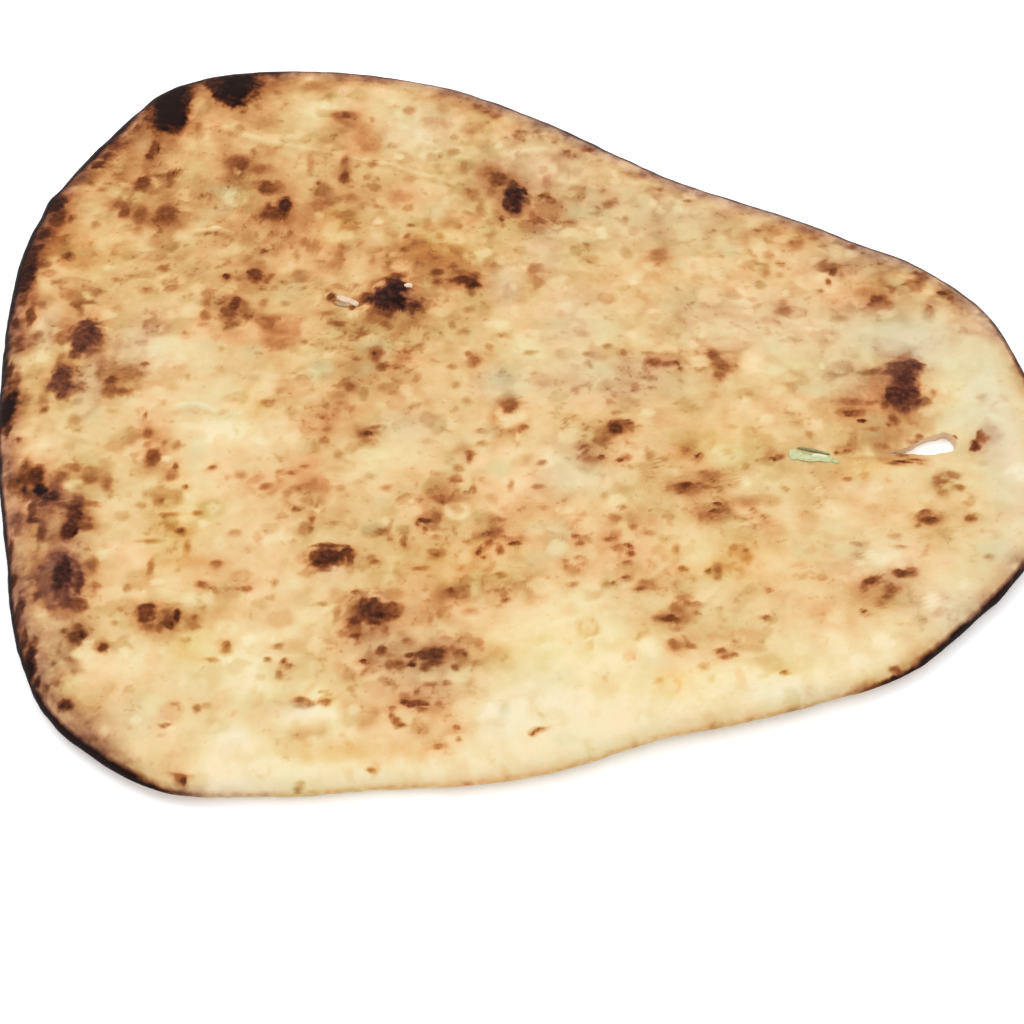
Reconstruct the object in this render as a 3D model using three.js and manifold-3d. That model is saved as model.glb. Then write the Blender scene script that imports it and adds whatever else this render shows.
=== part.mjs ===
import * as THREE from 'three';
import { mergeVertices } from 'three/addons/utils/BufferGeometryUtils.js';
import Module from 'manifold-3d';

// A naan bread: one leaf of baked dough, broad at one end and drawn out to a blunt tip at
// the other. Millimetres, +Z up, +X towards the tip. It lies on its flat underside, with
// the origin under the middle of its bounding box.

// ---- Driving dimensions ------------------------------------------------------------

// The widest line of the edge seen from above, anticlockwise from the tip. The edge is a
// smooth closed curve through these points.
const EDGE = [
  [142, -32], [139.5, 2], [130, 25.5], [114, 42], [99, 50.5], [85, 59.5],
  [46, 79], [13, 101.5], [-14, 117], [-48, 127.5], [-88, 127.5],
  [-108.5, 119], [-122, 99], [-133, 77], [-140.5, 53], [-142, 27],
  [-137, -23], [-128, -62], [-120, -91.5], [-110.5, -109.5], [-97, -121.5],
  [-80, -130], [-62, -131], [-47, -130.6], [-33, -129], [-10, -128], [8, -125.3],
  [20, -121.5], [32, -117.2], [65, -108.7], [96, -97.5], [112.5, -84], [129, -67], [138.5, -50],
];
const GRID_CENTRE = new THREE.Vector2(-12, -2);

const THICKNESS = 5.6; // of the flat middle

// Section of the edge: how far its rounding reaches in over the top and under the bread,
// and at which share of the thickness it is widest.
const EDGE_ROUND = { top: 5, under: 3, widest: 0.42 };
const UNDERSIDE_INSET = 8; // where the underside's own grid begins

// The rim stands a little proud all round, and twice as much at the rolled tip.
const RIM = { height: 1.1, tipHeight: 2.6, inset: 11, width: 6.5 };
const TIP_ROLL = { start: 85, full: 130 }; // in X

// The rim curls up off the table, more on some stretches than on others.
const EDGE_LIFT = { height: 1.5, least: 0.1, width: 28, waves: 5, phase: 0.9 };

// Soft puffs and sunken places left by the steam, spread by chance out to a share of the
// way to the edge, each up to one and a half times as long as it is wide.
const PUFFS = { count: 54, reach: 0.93, radius: [10, 21], longer: [1, 1.5], height: [-0.7, 1.0] };

// Faint folds along the bread, from when the dough was pulled out towards the tip.
const STRETCH_FOLDS = {
  count: 15, backY: 108, frontY: -118, tipY: -34, gather: 0.42, startX: -128, endX: 134,
  length: [80, 190], height: [-0.45, 0.55], width: 4.2,
};

// Blisters that the oven scorched: half sizes in X and Y, and height.
const BLISTERS = [
  { at: [-118, 10], size: [6, 7], height: 1.4 },
  { at: [-122, -5], size: [5.5, 6.5], height: 1.3 },
  { at: [-106, -4.5], size: [8, 8], height: 1.5 },
  { at: [-125, -39], size: [5, 5.5], height: 1.2 },
  { at: [-116, -50], size: [8, 7.5], height: 1.6 },
  { at: [-112, -71], size: [8, 10], height: 1.9 },
  { at: [-86, -83], size: [10, 6.5], height: 1.5 },
  { at: [-46, -65], size: [8.5, 7], height: 1.7 },
  { at: [-34, -81], size: [9, 7.5], height: 1.7 },
  { at: [-19, -94], size: [8, 6], height: 1.3 },
  { at: [-32.5, 27], size: [8, 8], height: 2.3 },
  { at: [-13, 33], size: [7, 5.5], height: 1.0 },
  { at: [0.5, 68], size: [6.5, 7], height: 1.5 },
  { at: [-69.5, 63], size: [6.5, 6.5], height: 1.3 },
  { at: [-78, 22], size: [6, 6], height: 1.0 },
  { at: [-101, 61], size: [6, 6], height: 1.0 },
  { at: [-112.5, 62], size: [7, 6], height: 1.0 },
  { at: [27, -22.5], size: [7, 6], height: 1.1 },
  { at: [45.5, -42], size: [8, 5.5], height: 1.1 },
  { at: [52, -50.5], size: [7, 5.5], height: 1.0 },
  { at: [42, 0], size: [7, 5.5], height: 1.0 },
  { at: [57.5, -2], size: [6.5, 6.5], height: 1.0 },
  { at: [107, -5], size: [9, 12], height: 2.1 },
  { at: [126, -24.5], size: [6, 6.5], height: 1.5 },
  { at: [106, -52], size: [6.5, 6], height: 1.1 },
  { at: [94, -72], size: [9, 6], height: 1.1 },
];

// Creases and small folds along short paths. A negative height is a groove.
const CREASES = [
  { path: [[-88, 100], [-67, 90], [-52, 82], [-21, 73]], height: 1.4, width: 3.6 },
  { path: [[-6, 87], [14, 84]], height: 0.9, width: 3.6 },
  { path: [[-52, 28], [-38, 21.5]], height: 1.4, width: 3 },
  { path: [[84, -28.5], [99, -30.5]], height: -1.2, width: 3 },
];

// The tear through the bread near the tip, and the stretched thin place around it.
const TEAR = [
  [99.5, -28.8], [106, -28.9], [112, -28.4], [117, -27.6],
  [118.3, -24], [116, -20.6], [111, -22], [105, -26],
];
const THIN_PLACE = { at: [112, -25], size: [18, 13], height: -2.5 };

// A sliver of herb pressed into the top, and a nub of dough on the broad end's edge, both
// ellipsoids given by their half sizes.
const HERB = { at: [79, -31.5], half: [6.3, 1.7, 0.8], turn: -0.13, sink: 0.15 };
const NUB = { at: [-136.2, 66.5], half: [2.4, 2.9, 1.7], turn: 0.3, z: 3.2 };

// Shallow hollows of the underside, which keep clear of the flat spot at the origin.
const HOLLOWS = { count: 22, reach: 0.86, radius: [14, 24], depth: [0.4, 1.0], clearOfOrigin: 58 };

const GRID_CELLS = 56; // across the top, and half as many across the underside
const EDGE_STEPS = 4; // facets round the section of the edge
const EDGE_SAMPLES = 900; // points of the edge that distances are measured to
const TEAR_STEPS = 28;
const ELLIPSOID_FACETS = [14, 8];
const SEED = 20260;

// ---- Small helpers -----------------------------------------------------------------

function randomFrom(seed) {
  let state = seed >>> 0;
  return () => {
    state = (state + 0x6d2b79f5) >>> 0;
    let mixed = Math.imul(state ^ (state >>> 15), state | 1);
    mixed ^= mixed + Math.imul(mixed ^ (mixed >>> 7), mixed | 61);
    return ((mixed ^ (mixed >>> 14)) >>> 0) / 4294967296;
  };
}

function between([low, high], share) {
  return low + (high - low) * share;
}

// A smooth oval mound, one high at its middle and nought from its outline out.
function oval(x, y, { at, size }) {
  const across = (x - at[0]) / size[0];
  const along = (y - at[1]) / size[1];
  const inside = Math.max(0, 1 - across * across - along * along);
  return inside * inside * (3 - 2 * inside);
}

function distanceToPath(x, y, path) {
  let nearest = Infinity;
  for (let k = 1; k < path.length; k += 1) {
    const [ax, ay] = path[k - 1];
    const [bx, by] = path[k];
    const share = ((x - ax) * (bx - ax) + (y - ay) * (by - ay)) / ((bx - ax) ** 2 + (by - ay) ** 2);
    const foot = THREE.MathUtils.clamp(share, 0, 1);
    nearest = Math.min(nearest, Math.hypot(x - ax - foot * (bx - ax), y - ay - foot * (by - ay)));
  }
  return nearest;
}

function bell(distance, width) {
  return Math.exp(-((distance / width) ** 2));
}

// ---- Edge --------------------------------------------------------------------------

const edge = new THREE.CatmullRomCurve3(
  EDGE.map(([x, y]) => new THREE.Vector3(x, y, 0)), true, 'centripetal',
);
edge.arcLengthDivisions = 2 * EDGE_SAMPLES;
const edgeSamples = edge.getSpacedPoints(EDGE_SAMPLES);

// The point of the edge at a share of the way round, moved in by an inset.
function edgePoint(share, inset) {
  const wrapped = share - Math.floor(share);
  const point = edge.getPointAt(wrapped);
  const tangent = edge.getTangentAt(wrapped);
  return new THREE.Vector2(point.x - tangent.y * inset, point.y + tangent.x * inset);
}

function insetOf(x, y) {
  let nearest = Infinity;
  for (const sample of edgeSamples) {
    nearest = Math.min(nearest, (sample.x - x) ** 2 + (sample.y - y) ** 2);
  }
  return Math.sqrt(nearest);
}

// Where a place of a square grid lies in the bread: the square's rings become rings of
// the bread, so the cells stay nearly even. u and v run from -1 to 1.
function ringPlace(u, v) {
  const ring = Math.max(Math.abs(u), Math.abs(v));
  if (ring === 0) {
    return { ring, share: 0 };
  }
  const sideways = Math.abs(u) >= Math.abs(v);
  let eighths = sideways ? v / u : 2 - u / v;
  if (sideways ? u < 0 : v < 0) {
    eighths += 4;
  }
  return { ring, share: eighths / 8 };
}

function gridPoint(u, v, inset) {
  const { ring, share } = ringPlace(u, v);
  return GRID_CENTRE.clone().lerp(edgePoint(share, inset), ring);
}

// ---- Heights -----------------------------------------------------------------------

const random = randomFrom(SEED);

// A chance place, no further out than a share of the way to the edge.
function chancePlace(reach) {
  const rim = edgePoint(random(), 0);
  const place = GRID_CENTRE.clone().lerp(rim, Math.sqrt(random()) * reach);
  return [place.x, place.y];
}

const puffs = Array.from({ length: PUFFS.count }, () => {
  const at = chancePlace(PUFFS.reach);
  const radius = between(PUFFS.radius, random());
  return {
    at,
    size: [radius * between(PUFFS.longer, random()), radius],
    height: between(PUFFS.height, random()),
  };
});

const stretchFolds = Array.from({ length: STRETCH_FOLDS.count }, (_, k) => {
  const fold = STRETCH_FOLDS;
  const broadY = between([fold.backY, fold.frontY], (k + random()) / fold.count);
  const tipY = fold.tipY + fold.gather * broadY;
  const length = between(fold.length, random());
  const start = between([fold.startX, fold.endX - length], random());
  const onLine = (x) => between([broadY, tipY], (x - fold.startX) / (fold.endX - fold.startX));
  return {
    path: [[start, onLine(start)], [start + length, onLine(start + length)]],
    height: between(fold.height, random()),
    width: fold.width,
  };
});

const hollows = Array.from({ length: HOLLOWS.count }, () => {
  const at = chancePlace(HOLLOWS.reach);
  const radius = between(HOLLOWS.radius, random());
  return { at, size: [radius, radius], height: between(HOLLOWS.depth, random()) };
}).filter(({ at }) => Math.hypot(...at) > HOLLOWS.clearOfOrigin);

function heap(x, y, mounds) {
  return mounds.reduce((sum, mound) => sum + mound.height * oval(x, y, mound), 0);
}

function folds(x, y, creases) {
  return creases.reduce(
    (sum, { path, height, width }) => sum + height * bell(distanceToPath(x, y, path), width), 0,
  );
}

function edgeLift(x, y, inset) {
  const reach = Math.max(0, 1 - inset / EDGE_LIFT.width);
  const turn = Math.atan2(y - GRID_CENTRE.y, x - GRID_CENTRE.x);
  const wave = 0.5 + 0.5 * Math.sin(EDGE_LIFT.waves * turn + EDGE_LIFT.phase);
  const swell = between([EDGE_LIFT.least, 1], wave);
  return EDGE_LIFT.height * swell * reach * reach;
}

function undersideHeight(x, y, inset) {
  return edgeLift(x, y, inset) + heap(x, y, hollows);
}

function rimHeight(x, inset) {
  const roll = THREE.MathUtils.smoothstep(x, TIP_ROLL.start, TIP_ROLL.full);
  return between([RIM.height, RIM.tipHeight], roll) * bell(inset - RIM.inset, RIM.width);
}

function topHeight(x, y, inset) {
  return edgeLift(x, y, inset) + THICKNESS + rimHeight(x, inset)
    + heap(x, y, puffs) + heap(x, y, BLISTERS) + heap(x, y, [THIN_PLACE])
    + folds(x, y, stretchFolds) + folds(x, y, CREASES);
}

// ---- Solids ------------------------------------------------------------------------

const wasm = await Module();
wasm.setup();

function solid(positions, triangles) {
  return new wasm.Manifold(new wasm.Mesh({
    numProp: 3,
    vertProperties: Float32Array.from(positions),
    triVerts: Uint32Array.from(triangles),
  }));
}

function solidOf(geometry) {
  geometry.deleteAttribute('normal');
  geometry.deleteAttribute('uv');
  const merged = mergeVertices(geometry);
  return solid(merged.attributes.position.array, merged.index.array);
}

// The leaf of dough: a grid over the top, a rounded edge, and a coarser grid underneath.
function doughSolid() {
  const positions = [];
  const triangles = [];

  function vertex(x, y, z) {
    positions.push(x, y, z);
    return positions.length / 3 - 1;
  }

  // A grid of cells; flip turns its faces down. It returns its border, once round.
  function grid(cells, inset, height, flip) {
    const index = [];
    for (let i = 0; i <= cells; i += 1) {
      for (let j = 0; j <= cells; j += 1) {
        const { x, y } = gridPoint((2 * i) / cells - 1, (2 * j) / cells - 1, inset);
        index.push(vertex(x, y, height(x, y, insetOf(x, y))));
      }
    }
    const at = (i, j) => index[i * (cells + 1) + j];
    for (let i = 0; i < cells; i += 1) {
      for (let j = 0; j < cells; j += 1) {
        const corners = [at(i, j), at(i + 1, j), at(i + 1, j + 1), at(i, j + 1)];
        const turned = (i < cells / 2) !== (j < cells / 2); // the diagonals run outwards
        const [a, b, c, d] = turned ? [...corners.slice(1), corners[0]] : corners;
        triangles.push(...(flip ? [a, c, b, a, d, c] : [a, b, c, a, c, d]));
      }
    }
    const steps = Array.from({ length: cells }, (_, k) => k);
    return [
      ...steps.map((k) => at(cells, k)),
      ...steps.map((k) => at(cells - k, cells)),
      ...steps.map((k) => at(0, cells - k)),
      ...steps.map((k) => at(k, 0)),
    ];
  }

  // The ring of the edge's section at an angle from the top (0) to the underside (PI).
  function edgeRing(angle) {
    const over = angle < Math.PI / 2;
    const reach = over ? EDGE_ROUND.top : EDGE_ROUND.under;
    return Array.from({ length: 4 * GRID_CELLS }, (_, k) => {
      const share = k / (4 * GRID_CELLS) - 1 / 8; // the grid's border starts at its corner
      const top = edgePoint(share, EDGE_ROUND.top);
      const low = edgePoint(share, EDGE_ROUND.under);
      const topZ = topHeight(top.x, top.y, EDGE_ROUND.top);
      const lowZ = undersideHeight(low.x, low.y, EDGE_ROUND.under);
      const widestZ = between([lowZ, topZ], EDGE_ROUND.widest);
      const place = edgePoint(share, reach * (1 - Math.sin(angle)));
      const z = widestZ + Math.cos(angle) * (over ? topZ - widestZ : widestZ - lowZ);
      return vertex(place.x, place.y, z);
    });
  }

  function band(upper, lower) {
    upper.forEach((a, k) => {
      const next = (k + 1) % upper.length;
      triangles.push(a, lower[k], lower[next], a, lower[next], upper[next]);
    });
  }

  const rings = [grid(GRID_CELLS, EDGE_ROUND.top, topHeight, false)];
  for (let step = 1; step <= EDGE_STEPS; step += 1) {
    rings.push(edgeRing((Math.PI * step) / EDGE_STEPS));
    band(rings[step - 1], rings[step]);
  }

  // Two steps of the edge meet one cell of the underside.
  const fine = rings[EDGE_STEPS];
  const coarse = grid(GRID_CELLS / 2, UNDERSIDE_INSET, undersideHeight, true);
  coarse.forEach((a, k) => {
    const b = coarse[(k + 1) % coarse.length];
    const [first, middle, last] = [0, 1, 2].map((step) => fine[(2 * k + step) % fine.length]);
    triangles.push(a, middle, first, a, b, middle, b, last, middle);
  });
  return solid(positions, triangles);
}

function ellipsoidSolid({ at, half, turn }, z) {
  const geometry = new THREE.SphereGeometry(1, ...ELLIPSOID_FACETS);
  geometry.scale(...half);
  geometry.rotateZ(turn);
  geometry.translate(at[0], at[1], z);
  return solidOf(geometry);
}

function tearSolid() {
  const outline = new THREE.CatmullRomCurve3(
    TEAR.map(([x, y]) => new THREE.Vector3(x, y, 0)), true, 'centripetal',
  );
  const points = outline.getSpacedPoints(TEAR_STEPS).slice(1);
  const shape = new THREE.Shape(points.map(({ x, y }) => new THREE.Vector2(x, y)));
  const depth = 3 * THICKNESS;
  const geometry = new THREE.ExtrudeGeometry(shape, { depth, bevelEnabled: false });
  geometry.translate(0, 0, -THICKNESS);
  return solidOf(geometry);
}

// ---- The part ----------------------------------------------------------------------

function breadGeometry() {
  const [herbX, herbY] = HERB.at;
  const herbZ = topHeight(herbX, herbY, insetOf(herbX, herbY)) - HERB.sink;
  const { vertProperties, triVerts } = doughSolid()
    .add(ellipsoidSolid(HERB, herbZ))
    .add(ellipsoidSolid(NUB, NUB.z))
    .subtract(tearSolid())
    .getMesh();
  const geometry = new THREE.BufferGeometry();
  geometry.setAttribute('position', new THREE.BufferAttribute(vertProperties, 3));
  geometry.setIndex(new THREE.BufferAttribute(triVerts, 1));

  // The origin goes under the middle of the box.
  geometry.computeBoundingBox();
  const middle = geometry.boundingBox.getCenter(new THREE.Vector3());
  geometry.translate(-middle.x, -middle.y, -geometry.boundingBox.min.z);
  geometry.computeVertexNormals();
  return geometry;
}

const bakedDough = new THREE.MeshStandardMaterial({ color: 0xdfb478, roughness: 0.8, metalness: 0 });

const bread = new THREE.Mesh(breadGeometry(), bakedDough);
bread.name = 'naan_bread';

const part = new THREE.Group();
part.add(bread);

export default part;
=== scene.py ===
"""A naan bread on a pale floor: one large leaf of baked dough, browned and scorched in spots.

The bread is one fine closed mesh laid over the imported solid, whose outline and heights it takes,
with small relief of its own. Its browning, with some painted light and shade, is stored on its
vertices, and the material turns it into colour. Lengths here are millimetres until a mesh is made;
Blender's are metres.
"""

import math
from itertools import product

import bpy
import numpy as np
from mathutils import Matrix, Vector
from mathutils.bvhtree import BVHTree
from mathutils.kdtree import KDTree


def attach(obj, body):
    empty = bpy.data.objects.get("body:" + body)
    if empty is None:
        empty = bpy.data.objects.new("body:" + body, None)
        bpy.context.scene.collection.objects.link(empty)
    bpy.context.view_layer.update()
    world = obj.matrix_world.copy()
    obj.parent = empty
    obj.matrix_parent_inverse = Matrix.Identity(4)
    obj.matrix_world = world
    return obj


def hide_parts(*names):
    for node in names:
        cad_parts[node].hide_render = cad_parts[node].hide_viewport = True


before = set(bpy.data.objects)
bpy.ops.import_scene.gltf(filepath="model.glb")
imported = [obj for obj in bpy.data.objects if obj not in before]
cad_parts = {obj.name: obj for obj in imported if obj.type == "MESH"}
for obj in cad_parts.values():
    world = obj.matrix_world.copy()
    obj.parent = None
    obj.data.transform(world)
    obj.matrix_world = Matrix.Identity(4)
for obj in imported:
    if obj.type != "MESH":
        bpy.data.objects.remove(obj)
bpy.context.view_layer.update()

MM = 0.001
SEED = 512
TINY = 1e-9

# ---- Camera --------------------------------------------------------------------------
# The photograph is 1024 pixels square. Places on the bread are written below as pixels of
# it, and stand for the spot of the surface that the camera sees there.

PICTURE_SIDE = 1024
FIELD_OF_VIEW = 32.0
ELEVATION = 52.0
CAMERA_DISTANCE = 464.0
CAMERA_TARGET = np.array([0.0, -44.9, 0.0])
CLIP = (0.01, 20)  # m
SENSOR = 36.0
HALF_VIEW = math.tan(math.radians(FIELD_OF_VIEW / 2))
FOCAL_PIXELS = PICTURE_SIDE / 2 / HALF_VIEW
SURFACE_HEIGHT = 6.2

tilt = math.radians(ELEVATION)
camera_back = np.array([0.0, -math.cos(tilt), math.sin(tilt)])
camera_right = np.array([1.0, 0.0, 0.0])
camera_up = np.cross(camera_back, camera_right)
camera_place = CAMERA_TARGET + camera_back * CAMERA_DISTANCE


def seen_at(px, py):
    """The point of the crust that shows at a pixel, as x and y."""
    middle = PICTURE_SIDE / 2
    ray = -camera_back + (px - middle) / FOCAL_PIXELS * camera_right
    ray = ray + (middle - py) / FOCAL_PIXELS * camera_up
    reach = (SURFACE_HEIGHT - camera_place[2]) / ray[2]
    return (camera_place + reach * ray)[:2]


def put_in_scene(name, data):
    thing = bpy.data.objects.new(name, data)
    bpy.context.scene.collection.objects.link(thing)
    return thing


def aim(thing, direction, axis):
    """Turns a camera or a light so that this axis of it points in a direction."""
    thing.rotation_mode = "QUATERNION"
    thing.rotation_quaternion = Vector(direction).to_track_quat(axis, "Y")


def add_camera():
    data = bpy.data.cameras.new("camera")
    data.sensor_width = SENSOR
    data.lens = SENSOR / 2 / HALF_VIEW
    data.clip_start, data.clip_end = CLIP
    camera = put_in_scene("camera", data)
    camera.location = Vector(camera_place * MM)
    aim(camera, -camera_back, "-Z")
    bpy.context.scene.camera = camera


# ---- Scorch marks, in pixels: x, y, width, height, and browning in percent -----------
# A mark is an oval; larger blisters are made of several. They are given one by one, from
# the left end of the bread to the right.

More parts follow.
